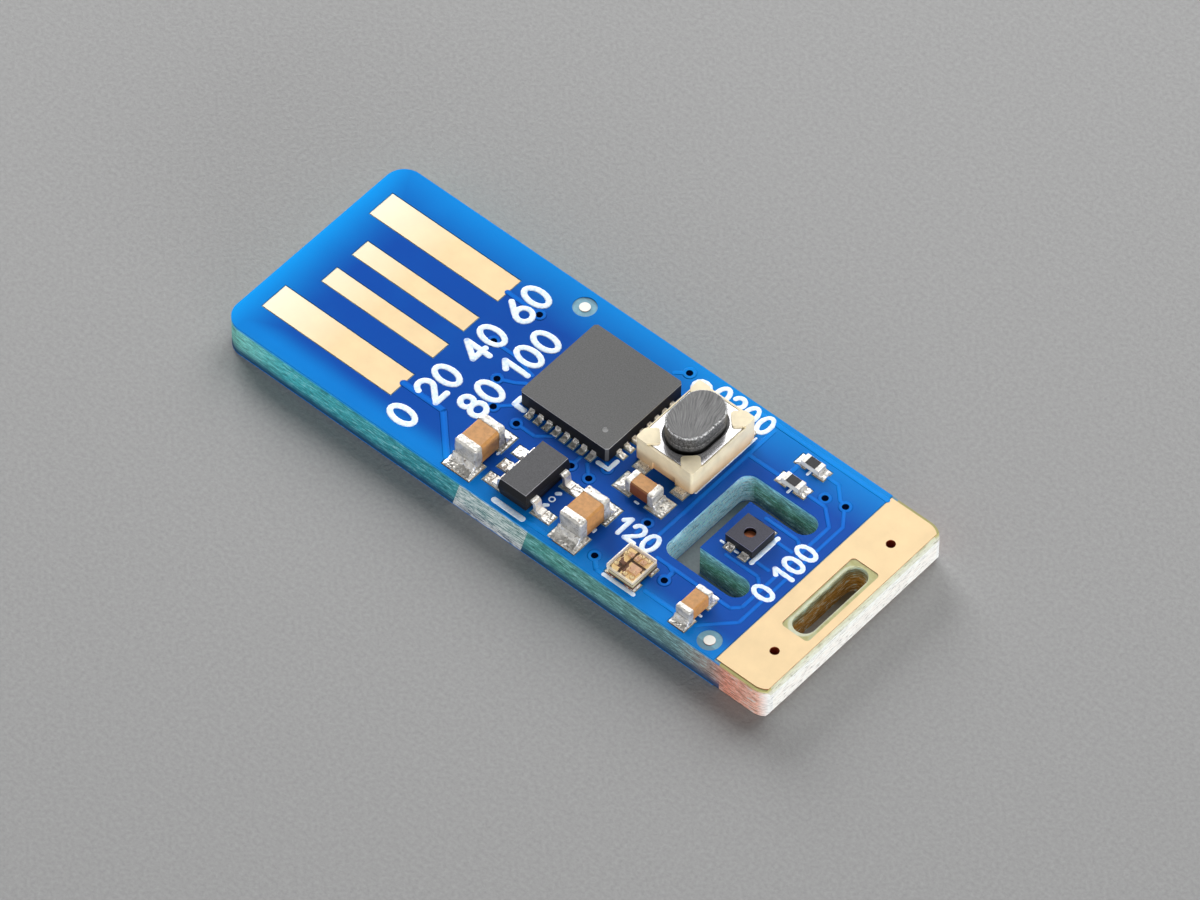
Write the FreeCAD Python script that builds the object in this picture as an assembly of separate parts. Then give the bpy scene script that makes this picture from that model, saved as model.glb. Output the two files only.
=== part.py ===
import FreeCAD, Part
import math
import os

from FreeCAD import Vector

# Stick-sized sensor board that plugs straight into a flat four-contact socket.
# Lengths are millimetres. The origin is the middle of the underside, +X runs from the plug's tip
# to the touch pad, +Z is up through the components.

# Bare board
plug_length = 8.41
board_thickness = 1.8
mask_thickness = 0.04
foil_thickness = 0.035
mask_relief = 0.05
tip_corner_radius = 1.0
end_corner_radius = 1.0
end_corner_reach = 0.75
score_run = 0.15
score_depth = 0.27

# Plug contacts
outer_contact_length = 7.5
outer_contact_width = 1.5
outer_contact_spacing = 7.0
inner_contact_length = 6.5
inner_contact_width = 1.0
inner_contact_spacing = 2.0

# Touch pad at the far end, with its slot and its two plated holes
touch_zone_length = 2.91
touch_pad_margin = 0.12
touch_window_width = 1.5
touch_window_length = 4.8
touch_window_radius = 0.2
touch_window_setback = 0.53
touch_window_shift = -0.17
end_slot_width = 1.1
end_slot_length = 4.45
plated_bore_radius = 0.22
plating_thickness = 0.03
plated_bore_spacing = 7.66

# Gaps along the board, from the contacts to the touch pad
contacts_to_microcontroller = 4.51
microcontroller_to_button = 0.74
button_to_slot = 0.85
slot_to_touch_pad = 1.24

# Gaps in from the two long edges, and between neighbours
edge_to_microcontroller = 1.8
microcontroller_to_regulator = 1.52
edge_to_button = 1.59
edge_to_regulator = 0.58
edge_to_capacitor_land = 0.3
edge_to_led = 0.5
edge_to_filter_land = 0.27
edge_to_resistor_land = 0.79
regulator_beyond_microcontroller = 0.94
regulator_to_capacitor_land = 0.32
button_land_to_bypass_land = 0.34
capacitor_land_to_led = 1.65
led_to_filter_land = 2.2
button_to_resistor_land = 2.05
resistor_pitch = 1.3
slot_to_sensor = 0.59

# Thermal slot round the sensor
slot_width = 1.2
slot_reach = 4.33
slot_arm_spacing = 4.5
slot_shift = -0.05

# Alignment marks
mark_dot_radius = 0.26
mark_window_radius = 0.56
contacts_to_mark = 3.07
mark_to_touch_pad = 0.81
edge_to_first_mark = 0.88
edge_to_second_mark = 0.68

# Solder
solder_film = 0.035
toe_thickness = 0.03
slope_hollow = 0.33

# Microcontroller, a flat square package with leads flush in its sides
microcontroller_size = 5.0
microcontroller_height = 0.85
microcontroller_corner_bevel = 0.12
microcontroller_pitch = 0.5
microcontroller_leads_a_side = 8
microcontroller_lead_width = 0.24
microcontroller_lead_length = 0.4
microcontroller_lead_thickness = 0.2
microcontroller_land_width = 0.3
microcontroller_land_reach = 0.4
microcontroller_fillet_height = 0.16
thermal_pad_gap = 0.4
orientation_dot_radius = 0.13
orientation_dot_depth = 0.02
orientation_dot_inset = 0.8

# Voltage regulator, a small package with five bent leads
regulator_width = 1.6
regulator_length = 2.9
regulator_height = 1.05
regulator_standoff = 0.08
regulator_draft = 0.08
regulator_lead_width = 0.4
regulator_lead_thickness = 0.15
regulator_lead_pitch = 0.95
regulator_lead_span = 2.8
regulator_shoulder = 0.2
regulator_foot = 0.34
regulator_bend = 0.13
regulator_land_width = 0.58
regulator_land_length = 1.05
regulator_land_span = 3.8

# Large capacitors beside the regulator
large_capacitor_length = 2.0
large_capacitor_width = 1.25
large_capacitor_height = 1.25
large_capacitor_end = 0.45
large_capacitor_land_width = 1.56
large_capacitor_land_length = 1.12
large_capacitor_land_span = 3.2
large_end_bevel = 0.09
large_solder_height = 0.44

# Small capacitors
small_capacitor_length = 1.6
small_capacitor_width = 0.8
small_capacitor_height = 0.8
small_capacitor_end = 0.32
small_end_bevel = 0.06
small_solder_height = 0.32
bypass_land_width = 1.03
bypass_land_length = 0.95
bypass_land_span = 2.78
filter_land_width = 0.89
filter_land_length = 0.8
filter_land_span = 2.37
end_cap_wall = 0.03

# Resistors
resistor_length = 1.0
resistor_width = 0.5
resistor_height = 0.32
resistor_end = 0.22
resistor_end_wall = 0.02
resistor_film_thickness = 0.02
resistor_film_margin = 0.02
resistor_land_width = 0.62
resistor_land_length = 0.6
resistor_land_span = 1.63
resistor_solder_height = 0.16

# Reset button, a flat push switch
button_width = 3.2
button_length = 4.2
button_height = 1.4
button_corner_rounding = 0.12
button_travel = 0.25
cover_width = 3.02
cover_length = 3.92
cover_thickness = 0.12
cover_gap = 0.04
cover_corner_cut = 0.65
corner_tab_width = 0.86
corner_tab_length = 1.06
corner_tab_height = 0.1
corner_tab_rounding = 0.16
plunger_width = 2.1
plunger_length = 3.02
plunger_top = 2.4
plunger_bevel = 0.09
plunger_clearance = 0.12
flange_overlap = 0.12
flange_thickness = 0.25
flange_clearance = 0.08
plunger_nub_radius = 0.4
plunger_play = 0.01
button_floor = 0.45
dome_radius = 1.15
dome_crown_radius = 0.5
dome_thickness = 0.05
dome_skirt_thickness = 0.075
dome_height_pressed = 0.11
button_lead_offset = 1.07
button_lead_width = 0.5
button_lead_thickness = 0.12
button_lead_reach = 0.31
button_riser_inset = 0.7
button_land_width = 0.7
button_land_length = 0.75
button_land_reach = 0.4
contact_boss_radius = 0.22
contact_arm_width = 0.5
contact_arm_cover = 0.06
contact_bar_width = 0.24
rim_contact_reach = 0.75
end_recess_width = 1.3
end_recess_depth = 0.1
end_recess_height = 0.5

# Status light, a clear block over a lead frame on a black base
led_width = 1.5
led_length = 1.6
led_height = 0.6
led_substrate = 0.25
led_corner_cut = 0.16
led_pad_size = 0.5
led_pad_reach = 0.1
led_pad_thickness = 0.05
led_frame_thickness = 0.03
led_frame_gap = 0.14
led_frame_margin = 0.09
led_long_gap_x = -0.2
led_right_gap_y = 0.2
led_left_gap_y = -0.27
led_die_size = 0.22
led_die_height = 0.1
led_die_pitch = 0.33
led_dies_y = 0.4
led_driver_width = 0.5
led_driver_length = 0.42
led_driver_x = 0.27
led_driver_y = -0.13

# Humidity and temperature sensor
sensor_size = 1.5
sensor_height = 0.5
sensor_opening_radius = 0.275
sensor_element_size = 0.9
sensor_element_height = 0.12
sensor_element_floor = 0.12
sensor_lead_width = 0.34
sensor_lead_length = 0.36
sensor_lead_thickness = 0.1
sensor_lead_spacing = 0.8
sensor_land_width = 0.42
sensor_land_reach = 0.3

# Levels above the underside, and sizes that follow from others
laminate_bottom = mask_thickness
laminate_top = board_thickness - mask_thickness
land_top = laminate_top + foil_thickness
seat = land_top + solder_film

thermal_pad_size = microcontroller_size - 2 * (microcontroller_lead_length + thermal_pad_gap)
board_width = (
    edge_to_microcontroller + microcontroller_size + microcontroller_to_regulator
    + regulator_length + edge_to_regulator
)

# Places along the board
electronics_length = (
    contacts_to_microcontroller + microcontroller_size + microcontroller_to_button
    + button_width + button_to_slot + slot_reach + slot_to_touch_pad
)
board_length = plug_length + electronics_length + touch_zone_length
tip_x = -board_length / 2
end_x = board_length / 2
edge_y = board_width / 2
contacts_x = tip_x + plug_length
touch_pad_x = end_x - touch_zone_length
microcontroller_x = contacts_x + contacts_to_microcontroller + microcontroller_size / 2
button_x = microcontroller_x + microcontroller_size / 2 + microcontroller_to_button + button_width / 2
slot_x = button_x + button_width / 2 + button_to_slot
sensor_x = slot_x + slot_width + slot_to_sensor + sensor_size / 2
regulator_x = microcontroller_x + regulator_beyond_microcontroller
capacitor_step = regulator_land_span / 2 + regulator_to_capacitor_land + large_capacitor_land_width / 2
input_capacitor_x = regulator_x - capacitor_step
output_capacitor_x = regulator_x + capacitor_step
led_x = output_capacitor_x + large_capacitor_land_width / 2 + capacitor_land_to_led + led_width / 2
filter_x = led_x + led_width / 2 + led_to_filter_land + filter_land_width / 2
resistor_x = button_x + button_width / 2 + button_to_resistor_land + resistor_land_span / 2
end_slot_x = end_x - touch_window_setback - touch_window_width / 2

# Places across the board
microcontroller_y = edge_y - edge_to_microcontroller - microcontroller_size / 2
button_y = edge_y - edge_to_button - button_length / 2
button_land_y = button_y - button_length / 2 - button_land_reach
bypass_y = button_land_y - button_land_to_bypass_land - bypass_land_width / 2
regulator_y = -edge_y + edge_to_regulator + regulator_length / 2
capacitor_y = -edge_y + edge_to_capacitor_land + large_capacitor_land_span / 2
led_y = -edge_y + edge_to_led + led_length / 2
filter_y = -edge_y + edge_to_filter_land + filter_land_span / 2
first_resistor_y = edge_y - edge_to_resistor_land - resistor_land_width / 2
second_resistor_y = first_resistor_y - resistor_pitch
sensor_y = 0.0


def on_plan(a, b):
    return Vector(a, b, 0)


def on_side(a, b):
    return Vector(a, 0, b)


def outline(corners, point):
    """Closed face through corners (a, b, radius), each corner rounded by its radius."""
    count = len(corners)
    starts, ends, arcs = [], [], []
    for i, (a, b, radius) in enumerate(corners):
        here = point(a, b)
        before = (point(*corners[i - 1][:2]) - here).normalize()
        after = (point(*corners[(i + 1) % count][:2]) - here).normalize()
        if radius == 0:
            starts.append(here)
            ends.append(here)
            arcs.append(None)
            continue
        half = before.getAngle(after) / 2
        run = radius / math.tan(half)
        start = here + before * run
        end = here + after * run
        bisector = (before + after).normalize()
        middle = here + bisector * (radius / math.sin(half) - radius)
        starts.append(start)
        ends.append(end)
        arcs.append(Part.Arc(start, middle, end).toShape())
    edges = []
    for i in range(count):
        if arcs[i]:
            edges.append(arcs[i])
        next_start = starts[(i + 1) % count]
        if ends[i].distanceToPoint(next_start) > 1e-6:
            edges.append(Part.LineSegment(ends[i], next_start).toShape())
    return Part.Face(Part.Wire(edges))


def rectangle(width, length, radius=0.0):
    """Corners of a rectangle centred on the origin, width along x and length along y."""
    a, b = width / 2, length / 2
    return [(-a, -b, radius), (a, -b, radius), (a, b, radius), (-a, b, radius)]


def plate(corners, bottom, top):
    """Flat piece with a plan outline, between two heights."""
    solid = outline(corners, on_plan).extrude(Vector(0, 0, top - bottom))
    solid.translate(Vector(0, 0, bottom))
    return solid


def strip_section(corners, width):
    """Piece with a side outline in X and Z, drawn out evenly to both sides along Y."""
    solid = outline(corners, on_side).extrude(Vector(0, width, 0))
    solid.translate(Vector(0, -width / 2, 0))
    return solid


def block(size_x, size_y, bottom, top, x=0.0, y=0.0):
    """Box with its plan centre at x, y."""
    corner = Vector(x - size_x / 2, y - size_y / 2, bottom)
    return Part.makeBox(size_x, size_y, top - bottom, corner)


def rod(radius, bottom, top, x=0.0, y=0.0):
    return Part.makeCylinder(radius, top - bottom, Vector(x, y, bottom))


def placed(shape, x=0.0, y=0.0, z=0.0, turn=0.0):
    """Copy turned about Z by an angle in degrees, then moved."""
    copy = shape.copy()
    copy.rotate(Vector(0, 0, 0), Vector(0, 0, 1), turn)
    copy.translate(Vector(x, y, z))
    return copy


def without(shape, cutters):
    return shape.cut(Part.Compound(cutters))


def placed_lands(lands, x, y, turned=False):
    """Land rectangles (x, y, size along x, size along y) moved to a part's place, a quarter turned or not."""
    moved = []
    for land_x, land_y, size_x, size_y in lands:
        if turned:
            land_x, land_y, size_x, size_y = -land_y, land_x, size_y, size_x
        moved.append((x + land_x, y + land_y, size_x, size_y))
    return moved


def save(shape, node):
    solids = shape.Solids
    for solid in solids:
        if not solid.isValid():
            raise ValueError(node + " has a faulty solid")
    Part.Compound(solids).exportStep("parts/" + node + ".step")


# Bare board


def board_blank(inset, bottom, top):
    """Board outline before its far end is snapped off, drawn in from the edge by an inset."""
    far_x = end_x - end_corner_reach + end_corner_radius - inset
    side_y = edge_y - inset
    near_radius = tip_corner_radius - inset
    far_radius = end_corner_radius - inset
    corners = [
        (tip_x + inset, -side_y, near_radius),
        (far_x, -side_y, far_radius),
        (far_x, side_y, far_radius),
        (tip_x + inset, side_y, near_radius),
    ]
    return plate(corners, bottom, top)


def sensor_slot():
    """Slot on three sides of the sensor, the path of one round cutter."""
    radius = slot_width / 2
    far_x = slot_x + slot_reach
    inner_x = slot_x + slot_width
    upper = slot_shift + slot_arm_spacing / 2
    lower = slot_shift - slot_arm_spacing / 2
    corners = [
        (slot_x, upper + radius, radius),
        (far_x, upper + radius, radius),
        (far_x, upper - radius, radius),
        (inner_x, upper - radius, 0),
        (inner_x, lower + radius, 0),
        (far_x, lower + radius, radius),
        (far_x, lower - radius, radius),
        (slot_x, lower - radius, radius),
    ]
    return plate(corners, 0, board_thickness)


def end_slot():
    slot = plate(rectangle(end_slot_width, end_slot_length, end_slot_width / 2), 0, board_thickness)
    return placed(slot, end_slot_x, touch_window_shift)


def plated_places():
    return [(end_slot_x, -plated_bore_spacing / 2), (end_slot_x, plated_bore_spacing / 2)]


def snapped_end():
    """What is missing at the far end: the scored grooves and all that was snapped off."""
    beyond = end_x + end_corner_radius
    corners = [
        (end_x - score_run, laminate_top, 0),
        (end_x, laminate_top - score_depth, 0),
        (end_x, laminate_bottom + score_depth, 0),
        (end_x - score_run, laminate_bottom, 0),
        (beyond, laminate_bottom, 0),
        (beyond, laminate_top, 0),
    ]
    return strip_section(corners, 2 * board_width)


def circuit_board():
    hole_radius = plated_bore_radius + plating_thickness
    holes = [rod(hole_radius, 0, board_thickness, x, y) for x, y in plated_places()]
    blank = board_blank(0, laminate_bottom, laminate_top)
    return without(blank, [sensor_slot(), end_slot(), snapped_end()] + holes)


def mask_layer(bottom):
    """Lacquer over one face, ending where the bare touch zone starts."""
    top = bottom + mask_thickness
    sheet = board_blank(0, bottom, top)
    bare = block(2 * touch_zone_length, 2 * board_width, bottom, top, touch_pad_x + touch_zone_length)
    return without(sheet, [bare, sensor_slot()])


def contact_places():
    """Name, y, length and width of each plug contact."""
    return [
        ("plug_contact_ground", -outer_contact_spacing / 2, outer_contact_length, outer_contact_width),
        ("plug_contact_data_plus", -inner_contact_spacing / 2, inner_contact_length, inner_contact_width),
        ("plug_contact_data_minus", inner_contact_spacing / 2, inner_contact_length, inner_contact_width),
        ("plug_contact_power", outer_contact_spacing / 2, outer_contact_length, outer_contact_width),
    ]


def solder_mask_top():
    windows = []
    for name, y, length, width in contact_places():
        windows.append((contacts_x - length / 2, y, length, width))
    windows += all_lands()
    cutters = []
    for x, y, size_x, size_y in windows:
        grown_x = size_x + 2 * mask_relief
        grown_y = size_y + 2 * mask_relief
        cutters.append(block(grown_x, grown_y, laminate_top, board_thickness, x, y))
    for x, y in mark_places():
        cutters.append(rod(mark_window_radius, laminate_top, board_thickness, x, y))
    return without(mask_layer(laminate_top), cutters)


def plug_contact(y, length, width):
    return block(length, width, laminate_top, land_top, contacts_x - length / 2, y)


def touch_face(bottom):
    """One face of the pad, with a bare window round the slot."""
    top = bottom + foil_thickness
    start_x = touch_pad_x + mask_relief
    stop_x = end_x - score_run
    blank = board_blank(touch_pad_margin, bottom, top)
    keep = block(stop_x - start_x, board_width, bottom, top, (start_x + stop_x) / 2)
    window = plate(rectangle(touch_window_width, touch_window_length, touch_window_radius), bottom, top)
    return blank.common(keep).cut(placed(window, end_slot_x, touch_window_shift))


def touch_pad():
    """Gold plating of both faces, joined through the board by the two plated bores."""
    low = laminate_bottom - foil_thickness
    outer = plated_bore_radius + plating_thickness
    walls = [rod(outer, laminate_bottom, laminate_top, x, y) for x, y in plated_places()]
    bores = [rod(plated_bore_radius, low, land_top, x, y) for x, y in plated_places()]
    return without(touch_face(laminate_top).fuse([touch_face(low)] + walls), bores).removeSplitter()


def mark_places():
    first = (contacts_x + contacts_to_mark, edge_y - edge_to_first_mark)
    second = (touch_pad_x - mark_to_touch_pad, -edge_y + edge_to_second_mark)
    return [first, second]


def alignment_marks():
    return Part.Compound([rod(mark_dot_radius, laminate_top, land_top, x, y) for x, y in mark_places()])


# Lands and solder


def all_lands():
    lands = placed_lands(microcontroller_lands(), microcontroller_x, microcontroller_y)
    lands += placed_lands(regulator_lands(), regulator_x, regulator_y)
    lands += placed_lands(large_capacitor_lands(), input_capacitor_x, capacitor_y, True)
    lands += placed_lands(large_capacitor_lands(), output_capacitor_x, capacitor_y, True)
    lands += placed_lands(bypass_lands(), button_x, bypass_y)
    lands += placed_lands(filter_lands(), filter_x, filter_y, True)
    lands += placed_lands(resistor_lands(), resistor_x, first_resistor_y)
    lands += placed_lands(resistor_lands(), resistor_x, second_resistor_y)
    lands += placed_lands(button_lands(), button_x, button_y)
    lands += placed_lands(led_lands(), led_x, led_y)
    lands += placed_lands(sensor_lands(), sensor_x, sensor_y)
    return lands


def component_lands():
    pads = [block(size_x, size_y, laminate_top, land_top, x, y) for x, y, size_x, size_y in all_lands()]
    return Part.Compound(pads)


def solder_slope(lead_end, outer, height):
    """Corners of the hollow slope from the land's outer edge up the end of a lead."""
    toe = land_top + toe_thickness
    top = seat + height
    middle_x = lead_end + slope_hollow * (outer - lead_end)
    middle_z = toe + slope_hollow * (top - toe)
    return [(outer, land_top, 0), (outer, toe, 0), (middle_x, middle_z, 0), (lead_end, top, 0)]


def solder_joint(inner, outer, lead_end, height, width):
    """Solder on one land, outwards along X: a film under the lead, then the slope up its end."""
    film = [(lead_end, seat, 0), (inner, seat, 0), (inner, land_top, 0)]
    return strip_section(film + solder_slope(lead_end, outer, height), width)


def end_lands(span, length, width):
    """Lands of a part with one terminal at each end, which lies along X."""
    offset = (span - length) / 2
    return [(-offset, 0, length, width), (offset, 0, length, width)]


def end_joints(span, length, width, part_length, part_width, height):
    """Both joints of such a part: a film as wide as the land, and a slope as wide as the part."""
    film = block(length, width, land_top, seat, (span - length) / 2)
    corners = [(part_length / 2, land_top, 0)] + solder_slope(part_length / 2, span / 2, height)
    slope = strip_section(corners, part_width)
    joint = film.fuse(slope).removeSplitter()
    return [joint, placed(joint, turn=180)]


# Microcontroller


def microcontroller_steps():
    first = -(microcontroller_leads_a_side - 1) / 2
    return [(first + i) * microcontroller_pitch for i in range(microcontroller_leads_a_side)]


def microcontroller_lands():
    outer = microcontroller_size / 2 + microcontroller_land_reach
    inner = microcontroller_size / 2 - microcontroller_lead_length
    middle = (outer + inner) / 2
    length = outer - inner
    width = microcontroller_land_width
    lands = [(0, 0, thermal_pad_size, thermal_pad_size)]
    for step in microcontroller_steps():
        lands.append((middle, step, length, width))
        lands.append((-middle, step, length, width))
        lands.append((step, middle, width, length))
        lands.append((step, -middle, width, length))
    return lands


def microcontroller_ring(piece):
    """The piece of one lead at the +X side, repeated along and round all four sides."""
    pieces = []
    for turn in (0, 90, 180, 270):
        for step in microcontroller_steps():
            pieces.append(placed(placed(piece, 0, step), turn=turn))
    return pieces


def microcontroller():
    bottom = seat
    half = microcontroller_size / 2
    lead_top = seat + microcontroller_lead_thickness
    lead = block(
        microcontroller_lead_length, microcontroller_lead_width, bottom, lead_top,
        half - microcontroller_lead_length / 2,
    )
    leads = microcontroller_ring(lead)
    pad = block(thermal_pad_size, thermal_pad_size, bottom, lead_top)
    joint = solder_joint(
        half - microcontroller_lead_length, half + microcontroller_land_reach, half,
        microcontroller_fillet_height, microcontroller_land_width,
    )
    joints = microcontroller_ring(joint) + [block(thermal_pad_size, thermal_pad_size, land_top, seat)]
    top = bottom + microcontroller_height
    body = block(microcontroller_size, microcontroller_size, bottom, top)
    upright = [edge for edge in body.Edges if abs(edge.tangentAt(0).z) > 0.5]
    body = body.makeChamfer(microcontroller_corner_bevel, upright)
    dot_place = half - orientation_dot_inset
    dot = rod(orientation_dot_radius, top - orientation_dot_depth, top, dot_place, -dot_place)
    body = without(body, leads + [pad, dot])
    return {
        "microcontroller_package": body,
        "microcontroller_terminals": Part.Compound(leads),
        "microcontroller_thermal_pad": pad,
        "microcontroller_solder": Part.Compound(joints),
    }


# Voltage regulator


def regulator_rows():
    """Side (1 or -1 along X) and y of each lead: three on one side and two on the other."""
    pitch = regulator_lead_pitch
    return [(-1, -pitch), (-1, 0), (-1, pitch), (1, -pitch), (1, pitch)]


def regulator_lands():
    offset = (regulator_land_span - regulator_land_length) / 2
    return [(side * offset, y, regulator_land_length, regulator_land_width) for side, y in regulator_rows()]


def bent_strip(points, thickness, bend, width):
    """Strip bent along a middle line in X and Z, with the same middle radius at each bend."""
    half = thickness / 2
    lower, upper = [], []
    for i, (a, b) in enumerate(points):
        here = Vector(a, 0, b)
        directions = []
        if i > 0:
            directions.append((here - Vector(points[i - 1][0], 0, points[i - 1][1])).normalize())
        if i < len(points) - 1:
            directions.append((Vector(points[i + 1][0], 0, points[i + 1][1]) - here).normalize())
        normals = [Vector(-d.z, 0, d.x) for d in directions]
        if len(normals) == 1:
            shift = normals[0] * half
            turning = 0
        else:
            shift = (normals[0] + normals[1]) * (half / (1 + normals[0].dot(normals[1])))
            turning = directions[0].dot(normals[1])
        inner, outer = bend - half, bend + half
        left = inner if turning < 0 else outer
        right = outer if turning < 0 else inner
        if turning == 0:
            left, right = 0, 0
        upper.append((a + shift.x, b + shift.z, left))
        lower.append((a - shift.x, b - shift.z, right))
    return strip_section(lower + upper[::-1], width)


def regulator():
    middle = seat + regulator_standoff + regulator_height / 2
    foot = seat + regulator_lead_thickness / 2
    side = regulator_width / 2
    toe = regulator_lead_span / 2
    points = [(side, middle), (side + regulator_shoulder, middle), (toe - regulator_foot, foot), (toe, foot)]
    lead = bent_strip(points, regulator_lead_thickness, regulator_bend, regulator_lead_width)
    outer = regulator_land_span / 2
    joint = solder_joint(
        outer - regulator_land_length, outer, toe, regulator_lead_thickness / 2, regulator_land_width,
    )
    leads, joints = [], []
    for direction, y in regulator_rows():
        turn = 0 if direction > 0 else 180
        leads.append(placed(lead, 0, y, 0, turn))
        joints.append(placed(joint, 0, y, 0, turn))
    return {
        "regulator_package": regulator_package(middle),
        "regulator_leads": Part.Compound(leads),
        "regulator_solder": Part.Compound(joints),
    }


def regulator_package(middle):
    """Moulded body that tapers above and below the level of its leads."""
    half_lead = regulator_lead_thickness / 2
    levels = [
        (seat + regulator_standoff, regulator_draft),
        (middle - half_lead, 0),
        (middle + half_lead, 0),
        (seat + regulator_standoff + regulator_height, regulator_draft),
    ]
    sections = []
    for height, inset in levels:
        corners = rectangle(regulator_width - 2 * inset, regulator_length - 2 * inset)
        wire = outline(corners, on_plan).OuterWire
        wire.translate(Vector(0, 0, height))
        sections.append(wire)
    return Part.makeLoft(sections, True, True)


# Capacitors and resistors


def capacitor(length, width, height, end, bevel):
    """Ceramic block with a metal cap over each end, along X."""
    wall = end_cap_wall
    ceramic = block(length - 2 * wall, width - 2 * wall, seat + wall, seat + height - wall)
    ceramic = ceramic.makeChamfer(bevel, ceramic.Edges)
    cap = block(end, width, seat, seat + height, length / 2 - end / 2)
    seam = [edge for edge in cap.Edges if edge.BoundBox.XMax < length / 2 - end + wall]
    outside = [edge for edge in cap.Edges if not any(edge.isSame(other) for other in seam)]
    cap = cap.makeChamfer(bevel, outside).cut(ceramic)
    return ceramic, [cap, placed(cap, turn=180)]


def large_capacitor_lands():
    return end_lands(large_capacitor_land_span, large_capacitor_land_length, large_capacitor_land_width)


def bypass_lands():
    return end_lands(bypass_land_span, bypass_land_length, bypass_land_width)


def filter_lands():
    return end_lands(filter_land_span, filter_land_length, filter_land_width)


def resistor_lands():
    return end_lands(resistor_land_span, resistor_land_length, resistor_land_width)


def large_capacitor():
    ceramic, caps = capacitor(
        large_capacitor_length, large_capacitor_width, large_capacitor_height,
        large_capacitor_end, large_end_bevel,
    )
    joints = end_joints(
        large_capacitor_land_span, large_capacitor_land_length, large_capacitor_land_width,
        large_capacitor_length, large_capacitor_width, large_solder_height,
    )
    return ceramic, caps, joints


def small_capacitor(span, land_length, land_width):
    ceramic, caps = capacitor(
        small_capacitor_length, small_capacitor_width, small_capacitor_height,
        small_capacitor_end, small_end_bevel,
    )
    joints = end_joints(
        span, land_length, land_width,
        small_capacitor_length, small_capacitor_width, small_solder_height,
    )
    return ceramic, caps, joints


def capacitors():
    large = large_capacitor()
    bypass = small_capacitor(bypass_land_span, bypass_land_length, bypass_land_width)
    smoothing = small_capacitor(filter_land_span, filter_land_length, filter_land_width)
    places = [
        ("input_capacitor", large, input_capacitor_x, capacitor_y, 90),
        ("output_capacitor", large, output_capacitor_x, capacitor_y, 90),
        ("bypass_capacitor", bypass, button_x, bypass_y, 0),
        ("filter_capacitor", smoothing, filter_x, filter_y, 90),
    ]
    nodes, solder = {}, []
    for name, (ceramic, caps, joints), x, y, turn in places:
        nodes[name + "_body"] = placed(ceramic, x, y, 0, turn)
        nodes[name + "_ends"] = Part.Compound([placed(cap, x, y, 0, turn) for cap in caps])
        solder += [placed(joint, x, y, 0, turn) for joint in joints]
    nodes["capacitor_solder"] = Part.Compound(solder)
    return nodes


def resistors():
    wall = resistor_end_wall
    film_bottom = seat + resistor_height - resistor_film_thickness
    body = block(resistor_length - 2 * wall, resistor_width, seat + wall, film_bottom)
    film_length = resistor_length - 2 * resistor_end
    film_width = resistor_width - 2 * resistor_film_margin
    film = block(film_length, film_width, film_bottom, seat + resistor_height)
    end = block(resistor_end, resistor_width, seat, film_bottom + wall, (resistor_length - resistor_end) / 2)
    end = end.cut(body)
    joints = end_joints(
        resistor_land_span, resistor_land_length, resistor_land_width,
        resistor_length, resistor_width, resistor_solder_height,
    )
    nodes, solder = {}, []
    places = [("data_pullup_resistor", first_resistor_y), ("clock_pullup_resistor", second_resistor_y)]
    for name, y in places:
        nodes[name + "_body"] = placed(body, resistor_x, y)
        nodes[name + "_film"] = placed(film, resistor_x, y)
        nodes[name + "_ends"] = Part.Compound(
            [placed(end, resistor_x, y), placed(end, resistor_x, y, 0, 180)]
        )
        solder += [placed(joint, resistor_x, y) for joint in joints]
    nodes["resistor_solder"] = Part.Compound(solder)
    return nodes


# Reset button


def four_corners(piece):
    """The piece of the +X +Y corner, mirrored to all four corners."""
    along_x = piece.mirror(Vector(0, 0, 0), Vector(1, 0, 0))
    along_y = piece.mirror(Vector(0, 0, 0), Vector(0, 1, 0))
    both = along_x.mirror(Vector(0, 0, 0), Vector(0, 1, 0))
    return [piece, along_x, along_y, both]


def button_lands():
    middle = button_length / 2 + button_land_reach - button_land_length / 2
    lands = []
    for x in (-button_lead_offset, button_lead_offset):
        for y in (-middle, middle):
            lands.append((x, y, button_land_width, button_land_length))
    return lands


def oval(width, length, bottom, top):
    """Upright piece with straight sides and round ends."""
    return plate(rectangle(width, length, width / 2), bottom, top)


def cover_outline(gap):
    """Corners of the cover with its four corners cut off, grown all round by a gap."""
    a = cover_width / 2 + gap
    b = cover_length / 2 + gap
    cut = cover_corner_cut
    return [
        (-a + cut, -b, 0), (a - cut, -b, 0), (a, -b + cut, 0), (a, b - cut, 0),
        (a - cut, b, 0), (-a + cut, b, 0), (-a, b - cut, 0), (-a, -b + cut, 0),
    ]


def button_cover(top):
    bottom = top - cover_thickness
    hole = oval(plunger_width + 2 * plunger_clearance, plunger_length + 2 * plunger_clearance, bottom, top)
    return plate(cover_outline(0), bottom, top).cut(hole)


def button_plunger(cover_bottom):
    """Oval key with a wider flange under the cover and a nub that presses the dome."""
    top = seat + plunger_top
    flange_top = cover_bottom - plunger_play
    flange_bottom = flange_top - flange_thickness
    stem = oval(plunger_width, plunger_length, flange_bottom, top)
    crown = [edge for edge in stem.Edges if edge.BoundBox.ZMin > top - plunger_bevel]
    stem = stem.makeChamfer(plunger_bevel, crown)
    grow = 2 * (plunger_clearance + flange_overlap)
    flange = oval(plunger_width + grow, plunger_length + grow, flange_bottom, flange_top)
    nub = rod(plunger_nub_radius, dome_top(), flange_bottom)
    return stem.fuse(flange).fuse(nub).removeSplitter()


def dome_top():
    return seat + button_floor + dome_height_pressed + button_travel


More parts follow.
